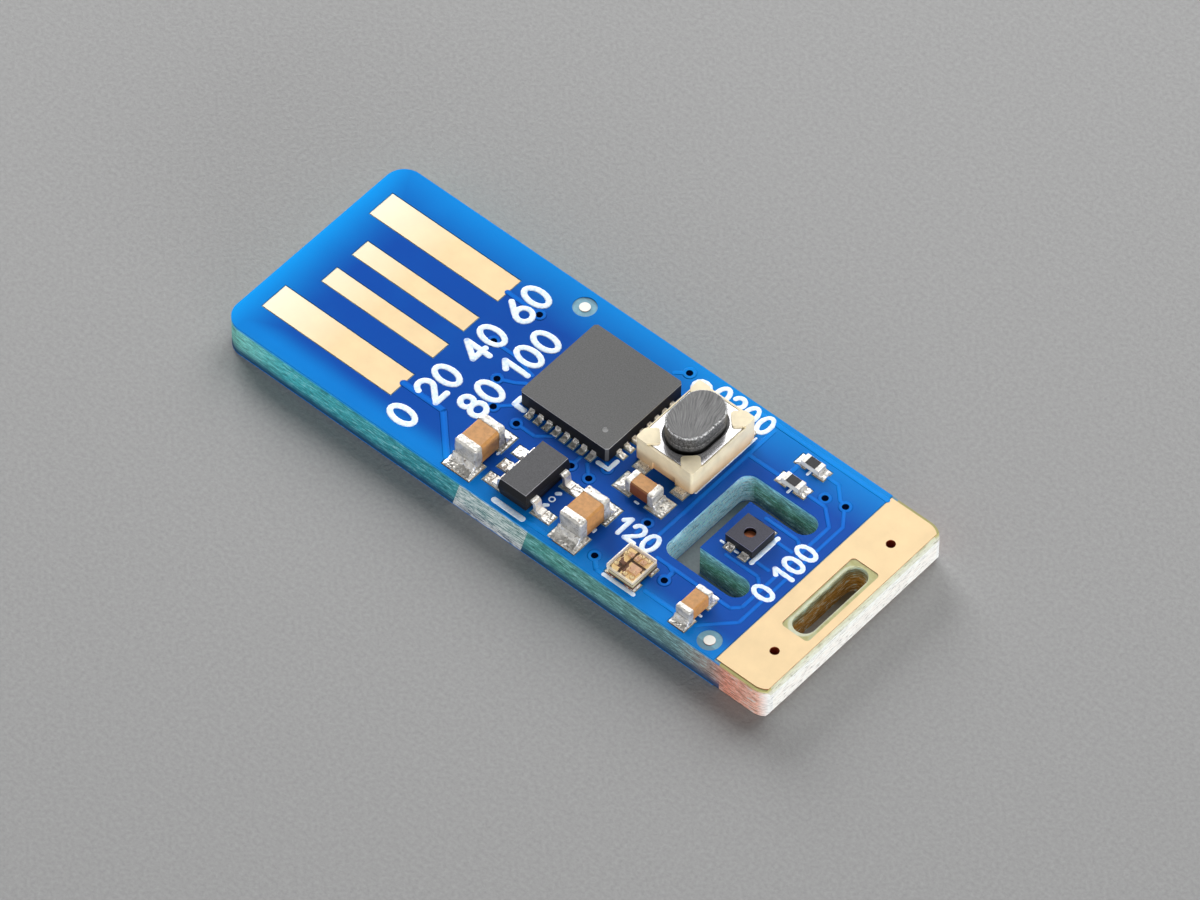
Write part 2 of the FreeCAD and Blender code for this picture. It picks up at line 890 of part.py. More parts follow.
def button_dome():
    """Snap dome: a thin skirt that rises from the rim contact to a flat crown."""
    bottom = seat + button_floor
    top = dome_top()
    corners = [
        (dome_radius, bottom, 0),
        (dome_crown_radius, top, 0),
        (0, top, 0),
        (0, top - dome_thickness, 0),
        (dome_crown_radius - dome_thickness / 2, top - dome_thickness, 0),
        (dome_radius - dome_skirt_thickness, bottom, 0),
    ]
    return outline(corners, on_side).revolve(Vector(0, 0, 0), Vector(0, 0, 1), 360)


def button_lead(arm_level):
    """One foot and its riser, bent from strip, from the outside in to the level of its contact."""
    foot = seat + button_lead_thickness / 2
    outer = button_length / 2 + button_lead_reach
    riser = button_length / 2 - button_riser_inset
    points = [(outer, foot), (riser, foot), (riser, arm_level)]
    lead = bent_strip(points, button_lead_thickness, button_lead_thickness / 2, button_lead_width)
    lead.rotate(Vector(0, 0, 0), Vector(0, 0, 1), 90)
    lead.translate(Vector(button_lead_offset, 0, 0))
    return lead


def button_contacts():
    """Two stamped contacts: one carries the dome's rim, one lies under its middle."""
    half = button_lead_thickness / 2
    riser = button_length / 2 - button_riser_inset
    bar_width = 2 * button_lead_offset + button_lead_width
    rim_top = seat + button_floor
    rim_bottom = rim_top - button_lead_thickness
    rim_bar = block(
        bar_width, riser + half - rim_contact_reach, rim_bottom, rim_top,
        0, -(riser + half + rim_contact_reach) / 2,
    )
    rim_lead = button_lead(rim_bottom)
    rim_leads = [placed(rim_lead, turn=180)]
    rim_leads.append(rim_leads[0].mirror(Vector(0, 0, 0), Vector(1, 0, 0)))
    rim_contact = rim_bar.fuse(rim_leads).removeSplitter()
    arm_top = rim_top - contact_arm_cover
    arm_bottom = arm_top - button_lead_thickness
    middle_bar = block(
        bar_width, contact_bar_width, arm_bottom, arm_top,
        0, riser + half - contact_bar_width / 2,
    )
    arm = block(
        contact_arm_width, riser + contact_arm_width / 2, arm_bottom, arm_top,
        0, (riser - contact_arm_width / 2) / 2,
    )
    boss = rod(contact_boss_radius, arm_top, rim_top)
    middle_lead = button_lead(arm_bottom)
    middle_leads = [middle_lead, middle_lead.mirror(Vector(0, 0, 0), Vector(1, 0, 0))]
    middle_contact = middle_bar.fuse([arm, boss] + middle_leads).removeSplitter()
    return [rim_contact, middle_contact]


def corner_tab(top):
    """Tab folded over one corner of the cover, pointing at the middle of the button."""
    reach = corner_tab_length
    half = corner_tab_width / 2
    rounding = corner_tab_rounding
    corners = [(-reach, -half, rounding), (0, -half, 0), (0, half, 0), (-reach, half, rounding)]
    tab = plate(corners, top, top + corner_tab_height)
    tab.rotate(Vector(0, 0, 0), Vector(0, 0, 1), 45)
    tab.translate(Vector(button_width / 2, button_length / 2, 0))
    footprint = rectangle(button_width, button_length, button_corner_rounding)
    bounds = plate(footprint, top, top + corner_tab_height)
    return tab.common(bounds)


def button_base(top, contacts):
    """Moulded base: a tray for the dome, a ledge for the cover and four corner tabs."""
    outer = plate(rectangle(button_width, button_length, button_corner_rounding), seat, top)
    grow = 2 * (plunger_clearance + flange_overlap + flange_clearance)
    floor = seat + button_floor
    tray = oval(plunger_width + grow, plunger_length + grow, floor, top)
    recess = plate(cover_outline(cover_gap), top - cover_thickness, top)
    notch_start = button_lead_offset - button_lead_width / 2
    notch_stop = button_width / 2
    notch = block(
        notch_stop - notch_start, button_lead_reach, seat, seat + button_lead_thickness,
        (notch_start + notch_stop) / 2, button_length / 2 - button_lead_reach / 2,
    )
    end_recess = block(
        end_recess_width, 2 * end_recess_depth, seat, seat + end_recess_height, 0, -button_length / 2,
    )
    far_recess = placed(end_recess, turn=180)
    body = outer
    for cutter in [tray, recess, end_recess, far_recess] + four_corners(notch) + contacts:
        body = body.cut(cutter)
    return body.fuse(four_corners(corner_tab(top))).removeSplitter()


def button():
    top = seat + button_height
    contacts = button_contacts()
    outer = button_length / 2 + button_land_reach
    joint = solder_joint(
        outer - button_land_length, outer, button_length / 2 + button_lead_reach,
        button_lead_thickness / 2, button_land_width,
    )
    joints = []
    for turn in (90, 270):
        for x in (-button_lead_offset, button_lead_offset):
            joints.append(placed(joint, x, 0, 0, turn))
    return {
        "button_base": button_base(top, contacts),
        "button_cover": button_cover(top),
        "button_plunger": button_plunger(top - cover_thickness),
        "button_dome": button_dome(),
        "button_contacts": Part.Compound(contacts),
        "button_solder": Part.Compound(joints),
    }


# Status light


def led_lands():
    offset = led_width / 2 + led_pad_reach - led_pad_size / 2
    side = led_length / 2 - led_pad_size / 2
    lands = []
    for x in (-offset, offset):
        for y in (-side, side):
            lands.append((x, y, led_pad_size, led_pad_size))
    return lands


def led_outline(inset):
    """Rectangle with one corner cut off, drawn in all round by an inset."""
    a = led_width / 2 - inset
    b = led_length / 2 - inset
    cut = led_corner_cut
    return [(-a + cut, -b, 0), (a, -b, 0), (a, b, 0), (-a, b, 0), (-a, -b + cut, 0)]


def status_led():
    pad_top = seat + led_pad_thickness
    frame_bottom = pad_top + led_substrate
    frame_top = frame_bottom + led_frame_thickness
    end = led_width / 2
    pad_x = end - led_pad_size / 2
    pad_y = led_length / 2 - led_pad_size / 2
    pad = block(led_pad_size, led_pad_size, seat, pad_top)
    pads = [placed(pad, x, y) for x in (-pad_x, pad_x) for y in (-pad_y, pad_y)]
    base = plate(led_outline(0), pad_top, frame_bottom)
    frame = plate(led_outline(led_frame_margin), frame_bottom, frame_top)
    right_gap_x = led_long_gap_x + led_width / 2
    left_gap_x = led_long_gap_x - led_width / 2
    gaps = [
        block(led_frame_gap, led_length, frame_bottom, frame_top, led_long_gap_x, 0),
        block(led_width, led_frame_gap, frame_bottom, frame_top, right_gap_x, led_right_gap_y),
        block(led_width, led_frame_gap, frame_bottom, frame_top, left_gap_x, led_left_gap_y),
    ]
    frame = without(frame, gaps)
    die_top = frame_top + led_die_height
    dies = [block(led_driver_width, led_driver_length, frame_top, die_top, led_driver_x, led_driver_y)]
    for step in (-1, 0, 1):
        dies.append(block(led_die_size, led_die_size, frame_top, die_top, step * led_die_pitch, led_dies_y))
    resin = plate(led_outline(0), frame_bottom, seat + led_height)
    resin = without(resin, frame.Solids + dies)
    outer = end + led_pad_reach
    joint = solder_joint(outer - led_pad_size, outer, end, led_pad_thickness, led_pad_size)
    joints = [placed(joint, 0, y, 0, turn) for turn in (0, 180) for y in (-pad_y, pad_y)]
    return {
        "status_led_base": base,
        "status_led_pads": Part.Compound(pads),
        "status_led_frame": frame,
        "status_led_chips": Part.Compound(dies),
        "status_led_resin": resin,
        "status_led_solder": Part.Compound(joints),
    }


# Sensor


def sensor_lands():
    outer = sensor_size / 2 + sensor_land_reach
    inner = sensor_size / 2 - sensor_lead_length
    lands = []
    for x in (-sensor_lead_spacing / 2, sensor_lead_spacing / 2):
        for side in (-1, 1):
            lands.append((x, side * (outer + inner) / 2, sensor_land_width, outer - inner))
    return lands


def sensor():
    half = sensor_size / 2
    top = seat + sensor_height
    lead_top = seat + sensor_lead_thickness
    lead = block(
        sensor_lead_length, sensor_lead_width, seat, lead_top, half - sensor_lead_length / 2,
    )
    joint = solder_joint(
        half - sensor_lead_length, half + sensor_land_reach, half,
        sensor_lead_thickness, sensor_land_width,
    )
    leads, joints = [], []
    for turn in (90, 270):
        for x in (-sensor_lead_spacing / 2, sensor_lead_spacing / 2):
            leads.append(placed(lead, x, 0, 0, turn))
            joints.append(placed(joint, x, 0, 0, turn))
    element_bottom = seat + sensor_element_floor
    element_top = element_bottom + sensor_element_height
    element = block(sensor_element_size, sensor_element_size, element_bottom, element_top)
    body = block(sensor_size, sensor_size, seat, top)
    opening = rod(sensor_opening_radius, element_top, top)
    body = without(body, [element, opening] + leads)
    return {
        "sensor_package": body,
        "sensor_element": element,
        "sensor_terminals": Part.Compound(leads),
        "sensor_solder": Part.Compound(joints),
    }


# Whole part


def bare_board():
    nodes = {
        "circuit_board": circuit_board(),
        "solder_mask_top": solder_mask_top(),
        "solder_mask_bottom": mask_layer(0),
        "touch_pad": touch_pad(),
        "alignment_marks": alignment_marks(),
        "component_lands": component_lands(),
    }
    for name, y, length, width in contact_places():
        nodes[name] = plug_contact(y, length, width)
    return nodes


def at_place(nodes, x, y):
    return {name: placed(shape, x, y) for name, shape in nodes.items()}


def main():
    os.makedirs("parts", exist_ok=True)
    nodes = bare_board()
    nodes.update(at_place(microcontroller(), microcontroller_x, microcontroller_y))
    nodes.update(at_place(regulator(), regulator_x, regulator_y))
    nodes.update(capacitors())
    nodes.update(resistors())
    nodes.update(at_place(button(), button_x, button_y))
    nodes.update(at_place(status_led(), led_x, led_y))
    nodes.update(at_place(sensor(), sensor_x, sensor_y))
    for name, shape in nodes.items():
        save(shape, name)


main()
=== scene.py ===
import functools
import math

import bmesh
import bpy
from bpy.props import FloatProperty, FloatVectorProperty, PointerProperty
from bpy.types import Operator, Panel, PropertyGroup
from mathutils import Matrix, Vector, noise


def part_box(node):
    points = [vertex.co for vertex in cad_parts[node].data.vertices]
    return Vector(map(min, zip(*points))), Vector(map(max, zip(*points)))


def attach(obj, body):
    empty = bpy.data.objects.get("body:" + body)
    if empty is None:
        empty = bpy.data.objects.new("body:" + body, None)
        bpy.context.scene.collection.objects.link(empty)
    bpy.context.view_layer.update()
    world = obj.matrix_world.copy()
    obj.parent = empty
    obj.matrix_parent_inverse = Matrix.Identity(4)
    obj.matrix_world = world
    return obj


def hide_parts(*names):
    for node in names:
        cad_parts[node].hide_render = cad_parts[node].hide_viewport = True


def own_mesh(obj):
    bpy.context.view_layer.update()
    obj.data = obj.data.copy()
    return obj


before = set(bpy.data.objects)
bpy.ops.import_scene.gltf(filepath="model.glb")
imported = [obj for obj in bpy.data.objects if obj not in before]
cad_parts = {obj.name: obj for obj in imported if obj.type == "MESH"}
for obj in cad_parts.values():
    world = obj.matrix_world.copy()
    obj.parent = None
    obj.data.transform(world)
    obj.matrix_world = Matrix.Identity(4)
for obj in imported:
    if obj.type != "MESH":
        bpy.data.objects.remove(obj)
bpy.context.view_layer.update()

bl_info = {
    "name": "Sensor board looks",
    "version": (1, 0, 0),
    "blender": (4, 5, 0),
    "location": "View3D > Sidebar > Sensor Board",
    "description": "Finishes, copper, print and solder for a plug-in humidity and temperature sensor board",
    "category": "Object",
}

MM = 0.001
# Places along the board are counted in millimetres from the rear ends of the plug contacts
CONTACTS_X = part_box("plug_contact_power")[1].x
BOARD_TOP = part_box("solder_mask_top")[1].z
TIP_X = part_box("circuit_board")[0].x
END_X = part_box("circuit_board")[1].x
EDGE_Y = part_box("circuit_board")[1].y
# Where the bare touch pad begins, and how far the contacts are rubbed pale from the tip
PAD_X = 20.2
RUBBED_X = -3.5
# Stub of the tab that held the board in its panel: its middle and half its length
TAB_X = 7.0
TAB_HALF = 1.95
# End slot in the touch pad: its middle, half the way between the centres of its round ends, and the
# radii between which the pale ring round it fades out
END_SLOT = (21.465, -0.275)
END_SLOT_HALF = 1.68
RING_RADII = (0.58, 0.67)
PRINT_HEIGHT = 0.014 * MM
# Hole of a via, drawn as a dark disc that ends just over the lacquer
VIA_RADIUS = 0.16 * MM
VIA_DEPTH = 0.02 * MM
VIA_MIDDLE = BOARD_TOP - 0.004 * MM

# The photograph's camera, fitted from the corners of the plug contacts, in metres
CAMERA_PLACE = (0.16673, -0.19351, 0.32203)
CAMERA_FORWARD = Vector((-0.4040, 0.4721, -0.7835)).normalized()
CAMERA_RIGHT = Vector((0.7532, 0.6577, 0.0080)).normalized()
CAMERA_SENSOR = 36
CAMERA_LENS = 284.5
FLOOR_HALF = 0.6
# Strength of the even light from all round
AMBIENT = 0.1
# Soft lights that face the board: name, place, width, height, and share of the power setting
LIGHTS = [
    # A large one behind, a smaller one beyond the tip, and a long low strip beyond the touch pad
    ("key", (-0.03, 0.31, 0.265), 0.30, 0.40, 1.05),
    ("side", (-0.316, 0.183, 0.163), 0.20, 0.20, 1.2),
    ("strip", (0.41, -0.19, 0.05), 0.40, 0.07, 1.5),
    # Dim panels for the tin and the steel to mirror: from the board's top and from its near and far slopes
    ("sheen", (-0.169, 0.198, 0.329), 0.18, 0.18, 0.065),
    ("near_panel", (-0.20, -0.39, 0.236), 0.36, 0.36, 0.30),
    ("low_panel", (-0.18, -0.48, 0.08), 0.50, 0.14, 0.13),
    ("far_panel", (0.353, 0.212, 0.181), 0.20, 0.20, 0.08),
]


def linear(hex_colour):
    """Linear colour of an sRGB hex value."""
    channels = [int(hex_colour[i:i + 2], 16) / 255 for i in (1, 3, 5)]
    return tuple(c / 12.92 if c <= 0.04045 else ((c + 0.055) / 1.055) ** 2.4 for c in channels)


def colour(name, description, hex_colour):
    return FloatVectorProperty(
        name=name, description=description, subtype="COLOR", size=3, min=0, max=1,
        default=linear(hex_colour),
    )


def length(name, description, millimetres):
    return FloatProperty(
        name=name, description=description, subtype="DISTANCE", unit="LENGTH", default=millimetres * MM,
        precision=6,
    )


# Sizes and colours a user would change


class BoardLook(PropertyGroup):
    lacquer: colour("Lacquer", "Blue lacquer over the copper", "#124FAE")
    lacquer_edge: colour("Lacquer edge", "Lacquer where no copper lies under it", "#0E9EF6")
    lacquer_trace: colour("Lacquer on traces", "Lacquer over the raised traces", "#1273DC")
    fibre: colour("Fibre", "Pale glass fibre in the sawn edges", "#A9DDE4")
    resin: colour("Resin", "Blue green resin of the sawn edges", "#48B6C6")
    low_lacquer_and_shade: colour("Low resin", "Dark blue foot of the sawn edges", "#123F6C")
    bare_resin: colour("Bare resin", "Olive resin where lacquer and copper are missing", "#A8A468")
    amber: colour("Amber", "Resin in the depth of the end slot", "#BC8A3C")
    broken: colour("Broken fibre", "Fibre whitened where the board was snapped off", "#F6F9F8")
    gold: colour("Gold", "Thin gold over nickel and copper", "#ECD0A2")
    trace_height: length("Trace height", "How far a trace lifts the lacquer", 0.006)


class PartsLook(PropertyGroup):
    compound: colour("Compound", "Grey moulding compound", "#5B5B5B")
    compound_dark: colour("Dark compound", "Black moulding compound", "#4D4D50")
    compound_purple: colour("Purple compound", "Purple black compound of the sensor", "#3D3D4B")
    compound_shaded_side: colour("Compound sides", "Smooth sides of the moulded packages", "#101013")
    tin: colour("Tin", "Tinned caps, leads and solder", "#FAF7F0")
    ceramic: colour("Ceramic", "Orange brown fired ceramic", "#CE9454")
    ceramic_shaded_side: colour("Ceramic sides", "Sides of the fired ceramic", "#7C4420")
    ivory: colour("Ivory", "Moulded nylon of the button", "#FFF0CC")
    plunger: colour("Plunger", "Grey key of the button", "#3A3A3B")
    scuff: colour("Scuffs", "Pale scuffs on the key", "#888888")
    print_white: colour("Print", "White printed marks", "#F0F8FF")


class StageLook(PropertyGroup):
    floor: colour("Floor", "Plain pale floor", "#A2A2A2")
    light_power: FloatProperty(
        name="Power", description="Power that every light takes its share of", unit="POWER", default=1.2,
    )


# Small helpers


def fill(node, inputs):
    """Gives a node's sockets their values or links. A node as a value is linked by its first live output."""
    for socket, value in inputs.items():
        if isinstance(value, bpy.types.Node):
            value = next(output for output in value.outputs if output.enabled)
        if isinstance(value, bpy.types.NodeSocket):
            node.id_data.links.new(value, node.inputs[socket])
        elif node.inputs[socket].type == "RGBA":
            node.inputs[socket].default_value = (*value, 1)
        else:
            node.inputs[socket].default_value = value


def add_node(tree, kind, inputs=None, stops=None, **settings):
    """Adds a shader node with its settings, its values or links, and its colour stops."""
    node = tree.nodes.new(f"ShaderNode{kind}")
    for name, value in settings.items():
        setattr(node, name, value)
    fill(node, inputs or {})
    if stops:
        elements = node.color_ramp.elements
        while len(elements) < len(stops):
            elements.new(0.5)
        for element, (position, value) in zip(elements, stops):
            element.position = position
            element.color = (*value, 1)
    return node


def start_material(name, **values):
    """A material, what adds its nodes, its shader with plain values set, and the place on it in metres."""
    material = bpy.data.materials.new(name)
    material.use_nodes = True
    shader = material.node_tree.nodes["Principled BSDF"]
    fill(shader, {socket.replace("_", " "): value for socket, value in values.items()})
    add = functools.partial(add_node, material.node_tree)
    return material, add, shader, add("TexCoord").outputs["Object"]


def grey(value):
    return (value, value, value)


def scaled(factor, tone):
    return tuple(min(1.0, factor * c) for c in tone)


def facing_up(add, low=0.25, high=0.85):
    """How far each face looks up, from 0 on the sides to 1 on the top."""
    split = add("SeparateXYZ", {0: add("NewGeometry").outputs["Normal"]})
    return add("MapRange", {"Value": split.outputs["Z"], "From Min": low, "From Max": high})


def dress(material, *node_names):
    """Puts a material on CAD nodes."""
    for name in node_names:
        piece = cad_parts[name]
        if not piece.data.materials:
            piece.data.materials.append(material)
        for slot in piece.material_slots:
            slot.material = material


def add_piece(name, mesh, material, body, smooth=True):
    """Adds a finished mesh as a piece that rides on a body."""
    mesh.name = name
    mesh.materials.clear()
    mesh.materials.append(material)
    for polygon in mesh.polygons:
        polygon.use_smooth = smooth
    piece = bpy.data.objects.new(name, mesh)
    bpy.context.scene.collection.objects.link(piece)
    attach(piece, body)
    return piece


def box_middle(name):
    low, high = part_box(name)
    return (low + high) / 2


def mesh_of(bm):
    bmesh.ops.recalc_face_normals(bm, faces=bm.faces)
    mesh = bpy.data.meshes.new("mesh")
    bm.to_mesh(mesh)
    bm.free()
    return mesh


def spot(x, y, z=BOARD_TOP):
    """Point on the board, x and y in millimetres from the contacts' rear ends and the middle line."""
    return Vector((CONTACTS_X + x * MM, y * MM, z))


def arc(u, v, across, up, start, stop, steps=10):
    """Points along part of an oval, angles in degrees."""
    angles = [math.radians(start + (stop - start) * i / steps) for i in range(steps + 1)]
    return [(u + across * math.cos(a), v + up * math.sin(a)) for a in angles]


def gentle_parts(stroke):
    """Splits a stroke where it turns sharply, so that each part bends gently and ends round."""
    points = [Vector(point) for point in stroke]
    parts = [[points[0]]]
    for before, point, after in zip(points, points[1:], points[2:]):
        parts[-1].append(point)
        if (point - before).angle(after - point, 0.0) > math.radians(40):
            parts.append([point])
    parts[-1].append(points[-1])
    return parts


def round_curve(radius):
    """Empty curve whose splines become round rods."""
    curve = bpy.data.curves.new("rods", "CURVE")
    curve.dimensions = "3D"
    curve.bevel_depth = radius
    curve.bevel_resolution = 2
    return curve


def mesh_of_curve(curve):
    holder = bpy.data.objects.new("rods", curve)
    mesh = bpy.data.meshes.new_from_object(holder)
    bpy.data.objects.remove(holder)
    return mesh


def spin_section(bm, centre, section, steps, closed):
    """Spins a section all round an upright axis; its points are distances from the axis and heights."""
    points = [bm.verts.new(centre + Vector((away, 0, rise))) for away, rise in section]
    edges = [bm.edges.new(pair) for pair in zip(points, points[1:] + points[:closed])]
    bmesh.ops.spin(
        bm, geom=points + edges, cent=centre, axis=(0, 0, 1), dvec=(0, 0, 0), angle=2 * math.pi,
        steps=steps, use_merge=True,
    )


def flat_strokes(strokes, width, height, level):
    """Mesh of rounded flat strokes through points on the board, half sunk into what they lie on."""
    curve = round_curve(width / 2)
    curve.use_fill_caps = True
    bm = bmesh.new()
    for part in [part for stroke in strokes for part in gentle_parts(stroke)]:
        closed = len(part) > 3 and (part[0] - part[-1]).length < 1e-6
        points = part[:-1] if closed else part
        spline = curve.splines.new("POLY")
        spline.points.add(len(points) - 1)
        spline.use_cyclic_u = closed
        for point, (x, y) in zip(spline.points, points):
            point.co = (*spot(x, y, 0), 1)
        for x, y in () if closed else (part[0], part[-1]):
            bmesh.ops.create_uvsphere(
                bm, u_segments=12, v_segments=8, radius=width / 2, matrix=Matrix.Translation(spot(x, y, 0)),
            )
    rods = mesh_of_curve(curve)
    bm.from_mesh(rods)
    bpy.data.meshes.remove(rods)
    bmesh.ops.scale(bm, vec=(1, 1, 2 * height / width), verts=bm.verts)
    bmesh.ops.translate(bm, vec=(0, 0, level), verts=bm.verts)
    return mesh_of(bm)


def melted(node_name, cell, swell, grain, rounds=2):
    """Copy of a CAD node with an even fine mesh, edges melted round and an uneven skin. Sizes in mm."""
    bm = bmesh.new()
    bm.from_mesh(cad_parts[node_name].data)
    bmesh.ops.remove_doubles(bm, verts=bm.verts, dist=1e-7)
    # Worked at a thousand times its size, because Remesh takes no cells under a tenth of a millimetre
    bmesh.ops.scale(bm, vec=(1 / MM, 1 / MM, 1 / MM), verts=bm.verts)
    coarse = mesh_of(bm)
    holder = bpy.data.objects.new("melted", coarse)
    bpy.context.scene.collection.objects.link(holder)
    remesh = holder.modifiers.new("Remesh", "REMESH")
    remesh.mode = "VOXEL"
    remesh.voxel_size = cell
    smooth = holder.modifiers.new("Smooth", "SMOOTH")
    smooth.iterations = rounds
    fine = bpy.data.meshes.new_from_object(holder.evaluated_get(bpy.context.evaluated_depsgraph_get()))
    bpy.data.objects.remove(holder)
    bpy.data.meshes.remove(coarse)
    bm = bmesh.new()
    bm.from_mesh(fine)
    bpy.data.meshes.remove(fine)
    bm.normal_update()
    moves = [v.normal * swell * noise.fractal(v.co / grain, 1.0, 2.0, 3) for v in bm.verts]
    for vertex, move in zip(bm.verts, moves):
        vertex.co += move
    bmesh.ops.scale(bm, vec=(MM, MM, MM), verts=bm.verts)
    return mesh_of(bm)


# Materials, each named for what the real one is and how its surface was made
# A noise of scale 1000 has grains a millimetre across


def lacquer_material(name, look, over_trace=False):
    """Liquid photo-imaged solder mask: glossy epoxy, deeper in colour where copper lies under it."""
    material, add, shader, place = start_material(name, Roughness=0.2, IOR=1.5, Specular_IOR_Level=0.05)
    split = add("SeparateXYZ", {0: place})
    # The copper pour fades out towards the long edges and the tip, so the lacquer is paler there: partly its
    # real colour over bare laminate, partly painted light shining through the laminate's edges
    near_right = add("MapRange", {
        "Value": split.outputs["Y"], "From Min": -EDGE_Y + 1.6 * MM, "From Max": -EDGE_Y + 0.4 * MM,
        "To Max": 0.54,
    }, interpolation_type="SMOOTHSTEP")
    near_left = add("MapRange", {
        "Value": split.outputs["Y"], "From Min": EDGE_Y - 2.7 * MM, "From Max": EDGE_Y, "To Max": 0.7,
    })
    sides = add("Math", {0: near_right, 1: near_left}, operation="MAXIMUM")
    near_tip = add("MapRange", {
        "Value": split.outputs["X"], "From Min": TIP_X + 3.1 * MM, "From Max": TIP_X,
    })
    tip = add("Math", {0: near_tip, 1: 1.8}, operation="POWER")
    bare = add("Math", {0: sides, 1: tip}, operation="MAXIMUM")
    cloud = add("TexNoise", {"Vector": place, "Scale": 350.0, "Detail": 3.0})
    mottle = add("Math", {0: cloud, 1: 0.2, 2: -0.1}, operation="MULTIPLY_ADD")
    amount = add("Math", {0: bare, 1: mottle}, operation="ADD", use_clamp=True)
    # The crest of a trace shows paler than its soft flanks
    crest = add("MapRange", {
        "Value": split.outputs["Z"], "From Min": BOARD_TOP + 0.2 * look.trace_height,
        "From Max": BOARD_TOP + look.trace_height, "To Max": 1.0 if over_trace else 0.0,
    })
    middle = add("Mix", {"Factor": crest, "A": look.lacquer, "B": look.lacquer_trace}, data_type="RGBA")
    shade = add("Mix", {"Factor": amount, "A": middle, "B": look.lacquer_edge}, data_type="RGBA")
    # Orange peel of the cured lacquer, about half a millimetre across
    peel = add("TexNoise", {"Vector": place, "Scale": 2200.0, "Detail": 2.0})
    bump = add("Bump", {"Height": peel, "Strength": 0.12, "Distance": 0.01 * MM})
    fill(shader, {"Base Color": shade, "Normal": bump})
    return material


